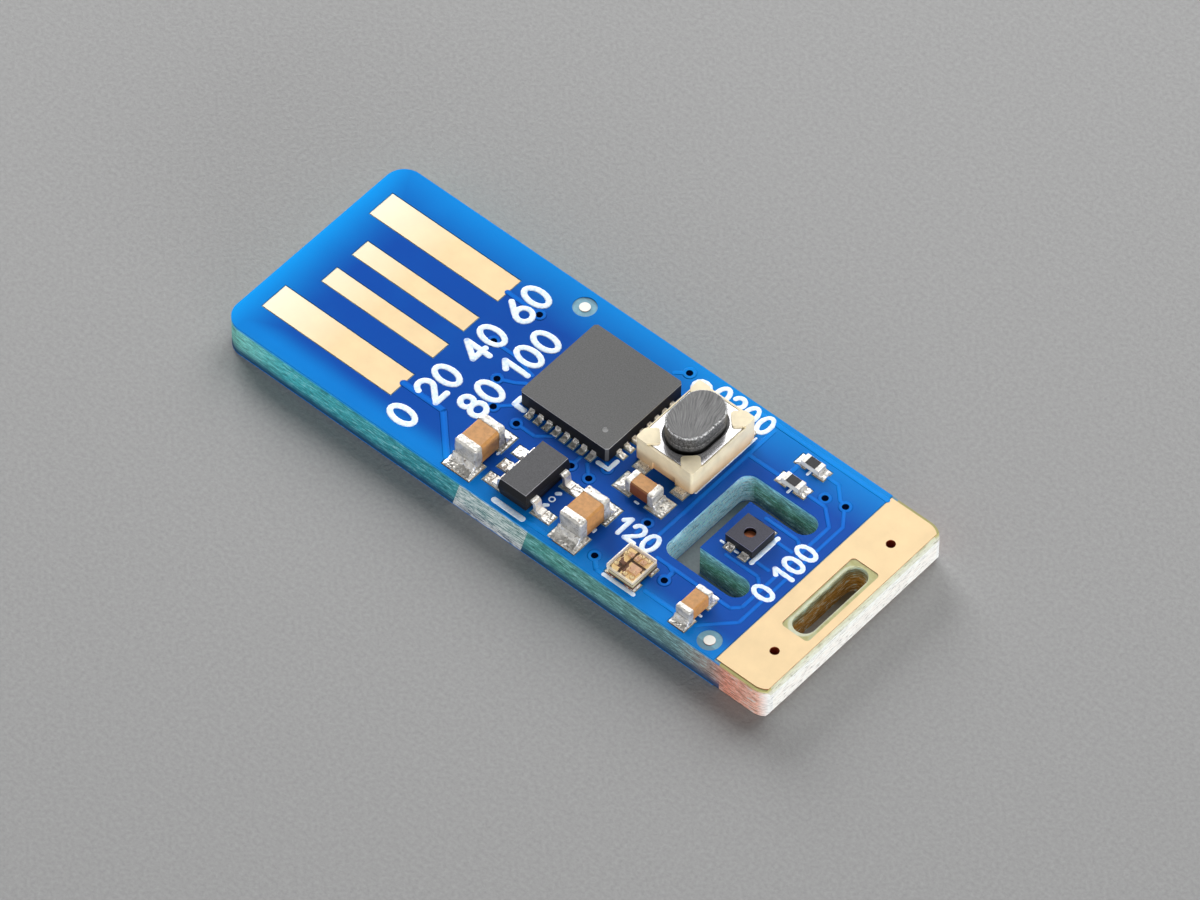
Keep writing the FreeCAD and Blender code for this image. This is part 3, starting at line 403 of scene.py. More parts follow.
def laminate_material(look):
    """Woven glass in epoxy, sawn: pale fibres in blue green resin, amber and snapped white at one end."""
    material, add, shader, place = start_material(
        "glass_epoxy_sawn", Roughness=0.6, IOR=1.52, Specular_IOR_Level=0.3,
    )
    split = add("SeparateXYZ", {0: place})
    along = add("MapRange", {"Value": split.outputs["X"], "From Min": TIP_X, "From Max": END_X})
    height = add("MapRange", {"Value": split.outputs["Z"], "From Max": BOARD_TOP})
    side = add("Math", {0: split.outputs["Y"]}, operation="ABSOLUTE")
    inside = add("Math", {0: side, 1: EDGE_Y - 0.5 * MM}, operation="LESS_THAN")
    far = add("Math", {0: split.outputs["X"], 1: spot(PAD_X, 0).x}, operation="GREATER_THAN")
    # The long edges change colour along the board: greener at the tip, grey and then pink at the touch pad,
    # and their brightness is partly painted light passing through the translucent laminate
    tint = add("ValToRGB", {0: along}, stops=[
        (0.0, linear("#9AF0E0")), (0.12, linear("#54D2DE")), (0.4, scaled(0.84, look.resin)),
        (0.62, linear("#66B4AA")), (0.84, linear("#7A9EA2")), (0.9, linear("#B4A39C")),
        (0.93, linear("#FFAC94")), (0.98, linear("#FFC4AE")),
    ])
    # The sawn walls of the slots: painted light on those that face the far end, and painted shade deepening
    # downwards on those that face the long edge
    facing = add("SeparateXYZ", {0: add("NewGeometry").outputs["True Normal"]})
    turned = add("MapRange", {"Value": facing.outputs["X"], "From Min": 0.2, "From Max": 0.9})
    painted_depth_shade = add("ValToRGB", {0: height}, stops=[
        (0.1, linear("#35594A")), (0.55, linear("#5F9A86")), (0.9, linear("#7DB8C4")),
    ])
    sawn = add("Mix", {"Factor": turned, "A": painted_depth_shade, "B": linear("#B2EAFF")}, data_type="RGBA")
    # The end slot's walls are amber, pale at the top, with painted shade darkening them towards the bottom
    depth = add("ValToRGB", {0: height}, stops=[
        (0.1, scaled(0.6, look.amber)), (0.55, look.amber), (0.8, linear("#96916A")),
        (0.95, linear("#C6CDB6")),
    ])
    walls = add("Mix", {"Factor": far, "A": sawn, "B": depth}, data_type="RGBA")
    resin = add("Mix", {"Factor": inside, "A": tint, "B": walls}, data_type="RGBA")
    # Fibre bundles lie 0.07 mm apart up the edge and 0.4 mm long along it
    stretch = add("Mapping", {"Vector": place, "Scale": (2300.0, 2300.0, 14000.0)})
    layers = add("TexNoise", {
        "Vector": stretch, "Scale": 1.0, "Detail": 5.0, "Roughness": 0.7, "Distortion": 0.15,
    })
    shade = add("MapRange", {
        "Value": layers, "From Min": 0.36, "From Max": 0.6, "To Min": 0.35, "To Max": 1.15,
    })
    grained = add("VectorMath", {0: resin, 1: shade}, operation="MULTIPLY")
    fibre = add("MapRange", {"Value": layers, "From Min": 0.55, "From Max": 0.63, "To Max": 0.7})
    # The sensor slot's walls show cut fibre ends as pale dots, drawn 0.1 mm coarse to show, strongest on the
    # walls painted lit
    dots = add("TexNoise", {"Vector": place, "Scale": 11000.0, "Detail": 2.0, "Roughness": 0.7})
    dotted = add("MapRange", {"Value": dots, "From Min": 0.5, "From Max": 0.58, "To Max": 0.6})
    routed = add("Math", {0: inside, 1: far}, operation="SUBTRACT", use_clamp=True)
    lit = add("Math", {0: turned, 1: 0.85, 2: 0.15}, operation="MULTIPLY_ADD")
    shown = add("Math", {0: routed, 1: lit}, operation="MULTIPLY")
    ends = add("Math", {0: dotted, 1: shown}, operation="MULTIPLY")
    dotted_walls = add("Mix", {"Factor": ends, "A": grained, "B": linear("#EAF8FC")}, data_type="RGBA")
    streaked = add("Mix", {"Factor": fibre, "A": dotted_walls, "B": look.fibre}, data_type="RGBA")
    # The foot of every edge is dark, down to where it meets the floor: partly the lacquer's edge on the
    # bottom, partly painted shade
    rise = add("ValToRGB", {0: height}, stops=[
        (0.02, grey(0.0)), (0.14, grey(0.15)), (0.32, grey(0.8)), (0.45, grey(1.0)),
    ])
    foot = add("Mix", {"Factor": far, "A": look.low_lacquer_and_shade, "B": streaked}, data_type="RGBA")
    body = add("Mix", {"Factor": rise, "A": foot, "B": streaked}, data_type="RGBA")
    # The far end and the stub of a tab, with its slanting ends, were snapped, which whitens the fibre
    snapped = add("MapRange", {
        "Value": split.outputs["X"], "From Min": END_X - 0.5 * MM, "From Max": END_X - 0.05 * MM,
        "To Max": 0.95,
    })
    slant = add("Math", {0: split.outputs["Z"], 1: -0.25, 2: split.outputs["X"]}, operation="MULTIPLY_ADD")
    stub = add("Math", {0: slant, 1: spot(TAB_X, 0).x, 2: TAB_HALF * MM}, operation="COMPARE")
    edge = add("Math", {0: split.outputs["Y"], 1: -EDGE_Y + 0.1 * MM}, operation="LESS_THAN")
    tab = add("Math", {0: stub, 1: edge}, operation="MULTIPLY")
    tufts = add("MapRange", {
        "Value": layers, "From Min": 0.42, "From Max": 0.58, "To Min": 0.15, "To Max": 0.85,
    })
    torn = add("Math", {0: tab, 1: tufts}, operation="MULTIPLY")
    whiteness = add("Math", {0: torn, 1: snapped}, operation="MAXIMUM")
    threads = add("ValToRGB", {0: layers}, stops=[
        (0.34, scaled(0.4, look.broken)), (0.42, scaled(0.85, look.broken)), (0.5, look.broken),
    ])
    broken = add("Mix", {"Factor": whiteness, "A": body, "B": threads}, data_type="RGBA")
    # A thin rim of lacquer hangs over the top of the long edges; bare resin shows at the touch pad
    rim = add("MapRange", {"Value": height, "From Min": 0.88, "From Max": 0.96})
    thin = add("Math", {0: inside, 1: -0.6, 2: 1.0}, operation="MULTIPLY_ADD")
    hung = add("Math", {0: rim, 1: thin}, operation="MULTIPLY")
    skin = add("Mix", {
        "Factor": far, "A": look.lacquer_edge, "B": scaled(1.5, look.bare_resin),
    }, data_type="RGBA")
    topped = add("Mix", {"Factor": hung, "A": broken, "B": skin}, data_type="RGBA")
    # Routing the end slot left a pale ring round its mouth
    from_middle = add("VectorMath", {0: place, 1: spot(*END_SLOT, 0)}, operation="SUBTRACT")
    apart = add("VectorMath", {0: from_middle}, operation="ABSOLUTE")
    reach = add("VectorMath", {0: apart, 1: (0.0, END_SLOT_HALF * MM, 1.0)}, operation="SUBTRACT")
    beyond = add("VectorMath", {0: reach, 1: (0.0, 0.0, 0.0)}, operation="MAXIMUM")
    gap = add("VectorMath", {0: beyond}, operation="LENGTH")
    inner, outer = RING_RADII
    mouth = add("MapRange", {"Value": gap, "From Min": outer * MM, "From Max": inner * MM, "To Max": 0.6})
    ringed = add("Mix", {"Factor": mouth, "A": look.bare_resin, "B": linear("#D3DACB")}, data_type="RGBA")
    window = add("Mix", {"Factor": far, "A": linear("#6E98AC"), "B": ringed}, data_type="RGBA")
    bare = add("Mix", {"Factor": facing_up(add), "A": topped, "B": window}, data_type="RGBA")
    # Painted glow: the slots' walls glow a little, standing for light that enters the translucent laminate
    # and comes out again there
    painted_glow = add("Math", {0: inside, 1: 0.21}, operation="MULTIPLY")
    bump = add("Bump", {"Height": layers, "Strength": 0.6, "Distance": 0.03 * MM})
    fill(shader, {"Base Color": bare, "Normal": bump, "Emission Color": streaked, "Emission Strength": painted_glow})
    return material


def gold_material(look, name="gold_over_nickel_plated", tone=None):
    """Immersion gold over nickel on copper: warm and satin, with a faint fine grain."""
    material, add, shader, place = start_material(name, Metallic=0.2, Roughness=0.5, Specular_IOR_Level=0.3)
    cloud = add("TexNoise", {"Vector": place, "Scale": 900.0, "Detail": 5.0, "Roughness": 0.6})
    base = tone or look.gold
    skin = add("ValToRGB", {0: cloud}, stops=[(0.3, scaled(0.9, base)), (0.7, base)])
    # Sockets have rubbed the contacts paler towards the tip
    split = add("SeparateXYZ", {0: place})
    rubbed = add("MapRange", {
        "Value": split.outputs["X"], "From Min": spot(RUBBED_X, 0).x, "From Max": TIP_X, "To Max": 0.7,
    })
    worn = add("Mix", {"Factor": rubbed, "A": skin, "B": linear("#FFF8E8")}, data_type="RGBA")
    # In the bores the plating is tarnished
    facing = add("SeparateXYZ", {0: add("NewGeometry").outputs["True Normal"]})
    flat = add("Math", {0: facing.outputs["Z"]}, operation="ABSOLUTE")
    shade = add("Mix", {"Factor": flat, "A": linear("#A8502C"), "B": worn}, data_type="RGBA")
    grain = add("TexNoise", {"Vector": place, "Scale": 14000.0, "Detail": 2.0})
    bump = add("Bump", {"Height": grain, "Strength": 0.2, "Distance": 0.004 * MM})
    fill(shader, {"Base Color": shade, "Normal": bump})
    return material


def tin_material(look, name, metal, roughness, speckle, side_painted_light=1.0, top_painted_light=1.0):
    """Tin that froze from the melt: bright, with an uneven skin and dark pits of about 0.1 mm."""
    material, add, shader, place = start_material(name, Metallic=metal)
    pits = add("TexNoise", {"Vector": place, "Scale": 9000.0, "Detail": 4.0, "Roughness": 0.7})
    skin = add("ValToRGB", {0: pits}, stops=[
        (0.34, scaled(1 - speckle, linear("#D8B898"))), (0.41, look.tin),
    ])
    swell = add("TexNoise", {"Vector": place, "Scale": 3500.0, "Detail": 5.0, "Roughness": 0.6})
    # Steep sides hang in streaks, and sides and tops are made lighter or darker as painted light
    painted_side_streaks = add("ValToRGB", {0: swell}, stops=[(0.35, grey(0.6 * side_painted_light)), (0.6, grey(side_painted_light))])
    painted_top_cloud = add("ValToRGB", {0: swell}, stops=[(0.35, grey(0.7 * top_painted_light)), (0.58, grey(top_painted_light))])
    share = add("Mix", {"Factor": facing_up(add, 0.1, 0.6), "A": painted_side_streaks, "B": painted_top_cloud}, data_type="RGBA")
    shade = add("VectorMath", {0: skin, 1: share}, operation="MULTIPLY")
    rough = add("MapRange", {
        "Value": pits, "From Min": 0.3, "From Max": 0.7,
        "To Min": roughness, "To Max": roughness + 0.2,
    })
    bump = add("Bump", {"Height": swell, "Strength": 0.5, "Distance": 0.04 * MM})
    fill(shader, {"Base Color": shade, "Roughness": rough, "Normal": bump})
    return material


def compound_material(name, tone, painted_side_tone, node_name):
    """Epoxy moulding compound: a frosted top, and sides painted dark, partly for their smoother finish and
    partly as painted shade, with a painted highlight where they meet.
    """
    material, add, shader, place = start_material(name, Roughness=0.55, IOR=1.5, Specular_IOR_Level=0.35)
    # The mould's fine frosting is drawn 0.06 mm coarse to show
    grain = add("TexNoise", {"Vector": place, "Scale": 16000.0, "Detail": 3.0, "Roughness": 0.7})
    frosted = add("ValToRGB", {0: grain}, stops=[(0.3, scaled(0.72, tone)), (0.7, scaled(1.2, tone))])
    split = add("SeparateXYZ", {0: place})
    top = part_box(node_name)[1].z
    # Painted highlight along the top edge of the sides
    painted_top_edge_highlight = add("MapRange", {
        "Value": split.outputs["Z"], "From Min": top - 0.05 * MM, "From Max": top - 0.01 * MM,
    })
    # Painted highlight: the upright corners are paler than the sides
    facing = add("VectorMath", {0: add("NewGeometry").outputs["Normal"]}, operation="ABSOLUTE")
    both = add("VectorMath", {0: facing, 1: (1.0, 1.0, 0.0)}, operation="DOT_PRODUCT")
    painted_corner_highlight = add("MapRange", {"Value": both, "From Min": 1.3, "From Max": 1.41, "To Max": 0.8})
    sides_with_corner_highlight = add("Mix", {"Factor": painted_corner_highlight, "A": painted_side_tone, "B": scaled(1.2, tone)}, data_type="RGBA")
    sides = add("Mix", {"Factor": painted_top_edge_highlight, "A": sides_with_corner_highlight, "B": scaled(6.0, tone)}, data_type="RGBA")
    # The floor of the mark for the first lead is polished pale
    sunk = add("Math", {0: split.outputs["Z"], 1: top - 0.01 * MM}, operation="LESS_THAN")
    marked = add("Mix", {"Factor": sunk, "A": frosted, "B": scaled(2.6, tone)}, data_type="RGBA")
    shade = add("Mix", {"Factor": facing_up(add), "A": sides, "B": marked}, data_type="RGBA")
    bump = add("Bump", {"Height": grain, "Strength": 0.4, "Distance": 0.01 * MM})
    fill(shader, {"Base Color": shade, "Normal": bump})
    return material


def ceramic_material(name, tone, painted_side_tone):
    """Fired ceramic: dense and slightly shiny, with fine darker specks, browner on the side towards -Y,
    partly its darker side and partly a painted dark reflection.
    """
    material, add, shader, place = start_material(name, Roughness=0.42, IOR=1.6, Specular_IOR_Level=0.35)
    cloud = add("TexNoise", {"Vector": place, "Scale": 5000.0, "Detail": 5.0, "Roughness": 0.6})
    top = add("ValToRGB", {0: cloud}, stops=[(0.3, scaled(0.75, tone)), (0.6, tone)])
    # The side towards -Y is browner: partly the ceramic's darker side, partly a painted dark reflection
    facing = add("SeparateXYZ", {0: add("NewGeometry").outputs["Normal"]})
    near = add("MapRange", {"Value": facing.outputs["Y"], "From Min": -0.3, "From Max": -0.8})
    shade = add("Mix", {"Factor": near, "A": top, "B": painted_side_tone}, data_type="RGBA")
    fill(shader, {"Base Color": shade})
    return material


def nylon_material(look):
    """Glass-filled nylon, moulded: ivory, darker in its flow marks, with painted amber light low down,
    bounced from the board.
    """
    material, add, shader, place = start_material("ivory_nylon_moulded", Roughness=0.45, IOR=1.53)
    cloud = add("TexNoise", {"Vector": place, "Scale": 1800.0, "Detail": 5.0})
    skin = add("ValToRGB", {0: cloud}, stops=[(0.3, scaled(0.85, look.ivory)), (0.62, look.ivory)])
    split = add("SeparateXYZ", {0: place})
    # Painted light: amber low down on the walls, bounced from the board
    low = add("MapRange", {
        "Value": split.outputs["Z"], "From Min": BOARD_TOP + 0.95 * MM, "From Max": BOARD_TOP,
        "To Max": 0.75,
    })
    shade = add("Mix", {"Factor": low, "A": skin, "B": linear("#DFA55C")}, data_type="RGBA")
    bump = add("Bump", {"Height": cloud, "Strength": 0.25, "Distance": 0.02 * MM})
    fill(shader, {"Base Color": shade, "Normal": bump})
    return material


def plunger_material(look):
    """Grey nylon key, scuffed slantwise by fingertips, with a painted highlight on its rim and dark sides."""
    material, add, shader, place = start_material(
        "grey_nylon_scuffed", Roughness=0.5, IOR=1.53, Specular_IOR_Level=0.4,
    )
    # Fine streaks fan out from a point in front of the key
    aside = add("VectorMath", {0: place, 1: box_middle("button_plunger")}, operation="SUBTRACT")
    wave = add("TexNoise", {"Vector": place, "Scale": 700.0, "Detail": 1.0})
    bent = add("VectorMath", {
        0: wave.outputs["Color"], 1: grey(0.5 * MM), 2: aside,
    }, operation="MULTIPLY_ADD")
    turned = add("Mapping", {"Vector": bent, "Rotation": (0.0, 0.0, math.radians(-40))})
    way = add("SeparateXYZ", {0: turned})
    away = add("Math", {0: way.outputs["Y"], 1: 2.0 * MM}, operation="ADD")
    slope = add("Math", {0: way.outputs["X"], 1: away}, operation="DIVIDE")
    fan = add("CombineXYZ", {"X": slope, "Y": away})
    spread = add("VectorMath", {0: fan, 1: (32.0, 900.0, 0.0)}, operation="MULTIPLY")
    streaks = add("TexNoise", {"Vector": spread, "Scale": 1.0, "Detail": 7.0, "Roughness": 0.78})
    scuffs = add("ValToRGB", {0: streaks}, stops=[(0.34, look.plunger), (0.66, look.scuff)])
    # The side is speckled, with a painted shadow black in the gap under the cover's rim and painted
    # highlights along a line part way up and at the rim
    split = add("SeparateXYZ", {0: place})
    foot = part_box("button_cover")[1].z
    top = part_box("button_plunger")[1].z
    level = add("MapRange", {"Value": split.outputs["Z"], "From Min": foot, "From Max": top})
    painted_side_bands = add("ValToRGB", {0: level}, stops=[
        (0.12, grey(0.0)), (0.18, grey(0.25)), (0.36, grey(0.35)), (0.39, grey(0.8)), (0.42, grey(0.2)),
        (0.9, grey(0.5)), (0.955, grey(2.6)), (0.985, grey(1.0)),
    ])
    specks = add("TexNoise", {"Vector": place, "Scale": 11000.0, "Detail": 3.0, "Roughness": 0.8})
    speckled = add("MapRange", {
        "Value": specks, "From Min": 0.4, "From Max": 0.62, "To Min": 0.03, "To Max": 0.5,
    })
    side = add("VectorMath", {0: painted_side_bands, 1: speckled}, operation="MULTIPLY")
    shade = add("Mix", {"Factor": facing_up(add, 0.7, 0.9), "A": side, "B": scuffs}, data_type="RGBA")
    bump = add("Bump", {"Height": streaks, "Strength": 0.5, "Distance": 0.015 * MM})
    fill(shader, {"Base Color": shade, "Normal": bump})
    return material


def steel_material(name, tone, roughness):
    """Stamped stainless sheet: satin, with rolling lines drawn 0.03 mm apart and small dark specks."""
    material, add, shader, place = start_material(name, Metallic=0.85, Roughness=roughness)
    stretch = add("Mapping", {"Vector": place, "Scale": (1500.0, 30000.0, 30000.0)})
    lines = add("TexNoise", {"Vector": stretch, "Scale": 1.0, "Detail": 2.0})
    specks = add("TexNoise", {"Vector": place, "Scale": 7000.0, "Detail": 3.0})
    both = add("Math", {0: lines, 1: specks}, operation="ADD")
    shade = add("MapRange", {
        "Value": both, "From Min": 0.75, "From Max": 1.0, "To Min": 0.75, "To Max": 1.0,
    })
    tinted = add("VectorMath", {0: shade, 1: tone}, operation="MULTIPLY")
    fill(shader, {"Base Color": tinted})
    return material


def substrate_material():
    """Printed circuit base of the status light: clouded brown resin, pale sides that turn black towards the
    foot.
    """
    material, add, shader, place = start_material("light_base_laminated", Roughness=0.5)
    low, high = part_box("status_led_base")
    split = add("SeparateXYZ", {0: place})
    level = add("MapRange", {"Value": split.outputs["Z"], "From Min": low.z, "From Max": high.z})
    sides = add("ValToRGB", {0: level}, stops=[
        (0.25, linear("#14110F")), (0.4, linear("#A89C78")), (0.9, linear("#D8CCA4")),
    ])
    cloud = add("TexNoise", {"Vector": place, "Scale": 5000.0, "Detail": 3.0})
    brown = add("ValToRGB", {0: cloud}, stops=[(0.3, linear("#50301E")), (0.7, linear("#8A5A3A"))])
    shade = add("Mix", {"Factor": facing_up(add), "A": sides, "B": brown}, data_type="RGBA")
    fill(shader, {"Base Color": shade})
    return material


def frame_material(tone):
    """Gold plated frame of the status light, etched through to the brown base in small blocks."""
    material, add, shader, place = start_material("gold_frame_etched", Roughness=0.4)
    cells = add("TexVoronoi", {"Vector": place, "Scale": 2700.0}, distance="CHEBYCHEV")
    pick = add("SeparateXYZ", {0: cells.outputs["Color"]})
    etched = add("Math", {0: pick.outputs["X"], 1: 0.7}, operation="GREATER_THAN")
    shade = add("Mix", {"Factor": etched, "A": tone, "B": linear("#6E3E24")}, data_type="RGBA")
    fill(shader, {"Base Color": shade})
    return material


def resin_material():
    """Cast clear silicone over the light: water clear, with painted reflections as pale bands along its
    edges.
    """
    material, add, shader, place = start_material(
        "clear_silicone_cast", Base_Color=linear("#F6F0DE"), Roughness=0.12, IOR=1.41,
    )
    low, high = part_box("status_led_resin")
    aside = add("VectorMath", {0: place, 1: (low + high) / 2}, operation="SUBTRACT")
    share = add("VectorMath", {0: aside, 1: [2 / size for size in high - low]}, operation="MULTIPLY")
    split = add("SeparateXYZ", {0: share})
    # Painted reflection: the two far edges are palest
    back = add("Math", {0: split.outputs["X"], 1: -1.0}, operation="MULTIPLY")
    far = add("Math", {0: back, 1: split.outputs["Y"]}, operation="MAXIMUM")
    painted_far_reflection = add("MapRange", {
        "Value": far, "From Min": 0.88, "From Max": 0.92, "To Min": 0.03, "To Max": 0.85,
    })
    near = add("MapRange", {"Value": far, "From Min": -0.93, "From Max": -0.97, "To Max": 0.4})
    edges = add("Math", {0: painted_far_reflection, 1: near}, operation="MAXIMUM")
    flat = facing_up(add)
    cover = add("Mix", {0: flat, 2: 0.6, 3: edges})
    # Painted light: the walls glow, standing for light caught in the block
    painted_wall_glow = add("MapRange", {"Value": flat, "To Min": 0.28, "To Max": 0.0})
    fill(shader, {"Alpha": cover, "Emission Color": linear("#F4E2BC"), "Emission Strength": painted_wall_glow})
    return material


def ink_material(look):
    """Screen-printed epoxy ink: opaque white, matt, slightly uneven in cover."""
    material, add, shader, place = start_material("white_ink_printed", Roughness=0.6, IOR=1.5)
    cover = add("TexNoise", {"Vector": place, "Scale": 6000.0, "Detail": 3.0})
    shade = add("ValToRGB", {0: cover}, stops=[(0.35, linear("#D2E6FC")), (0.55, look.print_white)])
    # A trace of glow keeps the ink white in the shade of the parts
    fill(shader, {"Base Color": shade, "Emission Color": linear("#BEDCFF"), "Emission Strength": 0.13})
    return material


def floor_material(look):
    """Plain grey paper backdrop with a fine tooth, drawn coarse enough to show."""
    material, add, shader, place = start_material("grey_paper", Roughness=0.9, Specular_IOR_Level=0.2)
    tooth = add("TexNoise", {"Vector": place, "Scale": 5200.0, "Detail": 4.0, "Roughness": 0.6})
    shade = add("ValToRGB", {0: tooth}, stops=[
        (0.3, scaled(0.9, look.floor)), (0.7, scaled(1.08, look.floor)),
    ])
    bump = add("Bump", {"Height": tooth, "Strength": 0.6, "Distance": 0.04 * MM})
    fill(shader, {"Base Color": shade, "Normal": bump})
    return material


# Stage


class MODULE_OT_stage(Operator):
    """Camera at the photograph's angle, plain floor and soft studio light"""

    bl_idname = "module.stage"
    bl_label = "Stage"

    def execute(self, context):
        look = context.scene.stage_look
        turn = Matrix((CAMERA_RIGHT, CAMERA_RIGHT.cross(CAMERA_FORWARD), -CAMERA_FORWARD)).transposed()
        camera_data = bpy.data.cameras.new("camera")
        camera_data.sensor_width = CAMERA_SENSOR
        camera_data.lens = CAMERA_LENS
        camera = bpy.data.objects.new("camera", camera_data)
        camera.matrix_world = Matrix.Translation(CAMERA_PLACE) @ turn.to_4x4()
        context.scene.collection.objects.link(camera)
        context.scene.camera = camera
        bm = bmesh.new()
        bmesh.ops.create_grid(bm, x_segments=1, y_segments=1, size=FLOOR_HALF)
        mesh = mesh_of(bm)
        mesh.materials.append(floor_material(look))
        floor = bpy.data.objects.new("floor", mesh)
        context.scene.collection.objects.link(floor)
        for name, place, width, height, share in LIGHTS:
            lamp_data = bpy.data.lights.new(name, "AREA")
            lamp_data.shape = "RECTANGLE"
            lamp_data.size = width
            lamp_data.size_y = height
            lamp_data.energy = share * look.light_power
            lamp = bpy.data.objects.new(name, lamp_data)
            lamp.location = place
            lamp.rotation_euler = (-Vector(place)).to_track_quat("-Z", "Y").to_euler()
            context.scene.collection.objects.link(lamp)
        world = bpy.data.worlds.new("studio")
        world.use_nodes = True
        fill(world.node_tree.nodes["Background"], {"Color": grey(1.0), "Strength": AMBIENT})
        context.scene.world = world
        context.scene.view_settings.view_transform = "Standard"
        return {"FINISHED"}


# Bare board


class MODULE_OT_bare_board(Operator):
    """Laminate, lacquer and gold of the bare board"""

    bl_idname = "module.bare_board"
    bl_label = "Bare board"

    def execute(self, context):
        look = context.scene.board_look
        dress(laminate_material(look), "circuit_board")
        dress(lacquer_material("blue_lacquer_cured", look), "solder_mask_top", "solder_mask_bottom")
        dress(
            gold_material(look), "touch_pad", "component_lands", "plug_contact_ground", "plug_contact_power",
            "plug_contact_data_plus", "plug_contact_data_minus",
        )
        dress(gold_material(look, "nickel_plated_dot", linear("#F3F1EA")), "alignment_marks")
        return {"FINISHED"}


# Routes of the traces that show, each with its width in millimetres
TRACES = [
    (0.36, [(0.0, -3.4), (2.3, -3.4), (4.1, -5.2)]),
    (0.27, [(0.0, 3.4), (1.88, 3.37)]),
    (0.27, [(12.5, 5.55), (19.85, 5.55)]),
    (0.25, [(13.75, -3.0), (13.75, 5.2)]),
    (0.25, [(13.8, 3.5), (15.5, 3.5)]),
    (0.25, [(15.77, 4.6), (15.77, 3.7)]),
    (0.22, [(17.13, 4.8), (17.75, 4.8), (18.35, 4.2), (18.75, 4.08)]),
    (0.22, [(18.75, 4.0), (19.38, 3.15), (19.38, -3.7), (18.1, -5.0)]),
    (0.22, [(17.13, 3.5), (18.1, 3.5), (18.95, 2.75), (18.95, -3.0), (18.6, -3.35), (14.5, -3.35)]),
    (0.22, [(16.6, 1.35), (18.4, 1.35), (18.9, 0.9)]),
    (0.22, [(17.7, 0.67), (18.6, 0.67)]),
    (0.22, [(17.7, -0.73), (18.5, -0.73)]),
    (0.22, [(16.6, -1.28), (18.4, -1.28), (18.9, -1.8)]),
    (0.27, [(15.3, -5.05), (17.0, -5.05)]),
    (0.25, [(12.42, -5.04), (12.95, -5.55), (15.0, -5.62)]),
    (0.25, [(15.53, -4.08), (15.53, -3.5), (15.2, -3.35)]),
    (0.22, [(1.37, 0.93), (2.6, 0.93), (3.9, 0.6)]),
    (0.22, [(2.87, -0.54), (3.6, -0.2), (4.0, 0.1)]),
    (0.22, [(3.77, -1.80), (4.6, -0.95), (6.0, -0.95), (6.3, -1.2)]),
    (0.22, [(5.15, -1.85), (6.2, -1.85), (6.8, -1.3)]),
    (0.22, [(8.44, -2.03), (8.44, -1.4)]),
    (0.22, [(9.47, -2.05), (8.9, -1.5)]),
    (0.22, [(9.72, -1.12), (9.3, -0.8)]),
    (0.25, [(12.96, -2.22), (12.96, -3.0), (13.7, -3.0)]),
    (0.22, [(8.92, 5.23), (8.4, 4.8)]),
    (0.27, [(10.4, -5.0), (10.4, -5.55), (7.4, -5.62)]),
]
# Centres of the via holes
VIAS = [
    (1.88, 3.37), (1.37, 0.93), (2.87, -0.54), (3.77, -1.80), (5.15, -1.85), (8.44, -2.03), (9.47, -2.05),
    (9.72, -1.12), (8.92, 5.23), (12.96, -2.22), (12.42, -5.04), (15.53, -4.08), (17.785, 3.86),
    (18.75, 4.08),
]
# Section of the raised ring round a via: millimetres from its middle, and share of a trace's height
VIA_RING = [(0.155, -0.02), (0.17, 0.75), (0.22, 0.85), (0.28, 0.6), (0.34, -0.02)]


class MODULE_OT_copper(Operator):
    """Traces and vias under the lacquer"""

    bl_idname = "module.copper"
    bl_label = "Traces and vias"

    def execute(self, context):
        look = context.scene.board_look
        lacquered = lacquer_material("blue_lacquer_over_copper", look, over_trace=True)
        widths = sorted({width for width, route in TRACES})
        for number, width in enumerate(widths):
            routes = [route for wide, route in TRACES if wide == width]
            mesh = flat_strokes(routes, width * MM, look.trace_height, BOARD_TOP)
            add_piece(f"lacquered_traces_{number + 1}", mesh, lacquered, "board")
        rings = bmesh.new()
        wells = bmesh.new()
        for x, y in VIAS:
            section = [(away * MM, share * look.trace_height) for away, share in VIA_RING]
            spin_section(rings, spot(x, y), section, steps=24, closed=True)
            bmesh.ops.create_cone(
                wells, cap_ends=True, segments=20, radius1=VIA_RADIUS, radius2=VIA_RADIUS, depth=VIA_DEPTH,
                matrix=Matrix.Translation(spot(x, y, VIA_MIDDLE)),
            )
        add_piece("lacquered_via_rings", mesh_of(rings), lacquered, "board")
        # A drilled hole shows only as blue black shade
        well, add, shader, place = start_material("via_hole_shade", Roughness=0.8, Specular_IOR_Level=0.0)
        depth = add("TexNoise", {"Vector": place, "Scale": 9000.0})
        shade = add("ValToRGB", {0: depth}, stops=[(0.3, linear("#01050F")), (0.7, linear("#04102C"))])
        fill(shader, {"Base Color": shade})
        add_piece("via_wells", mesh_of(wells), well, "board", smooth=False)
        return {"FINISHED"}


# Printed marks


# Plain signs as strokes in a cell one unit high, with each sign's width
SIGNS = {
    "0": (0.62, [arc(0.31, 0.5, 0.29, 0.5, 0, 360, 20)]),
    "1": (0.36, [[(0.0, 0.74), (0.26, 1.0), (0.26, 0.0)]]),
    "2": (0.6, [arc(0.3, 0.71, 0.28, 0.29, 165, -35, 12) + [(0.02, 0.0), (0.58, 0.0)]]),
    "4": (0.64, [[(0.48, 0.0), (0.48, 1.0), (0.02, 0.32), (0.64, 0.32)]]),
    "6": (0.6, [[(0.46, 1.0), (0.15, 0.6)] + arc(0.3, 0.3, 0.29, 0.3, 150, 510, 20)]),
    "8": (0.6, [arc(0.3, 0.27, 0.29, 0.27, 0, 360, 18), arc(0.3, 0.77, 0.23, 0.23, 0, 360, 16)]),
    " ": (0.3, []),
}
# Each row of signs, in millimetres: start, height, gap, whether it runs across the board, stroke width, signs
ROWS = [
    ((1.78, -5.15), 1.3, 0.31, True, 0.3, "0 20 40 60"),
    ((3.75, -2.75), 1.3, 0.3, True, 0.3, "80 100"),
    ((12.1, -3.45), 0.95, 0.24, False, 0.24, "120"),
    ((10.5, 4.72), 0.95, 0.24, False, 0.24, "0200"),
    ((19.6, -2.1), 0.95, 0.26, True, 0.24, "0 100"),
]
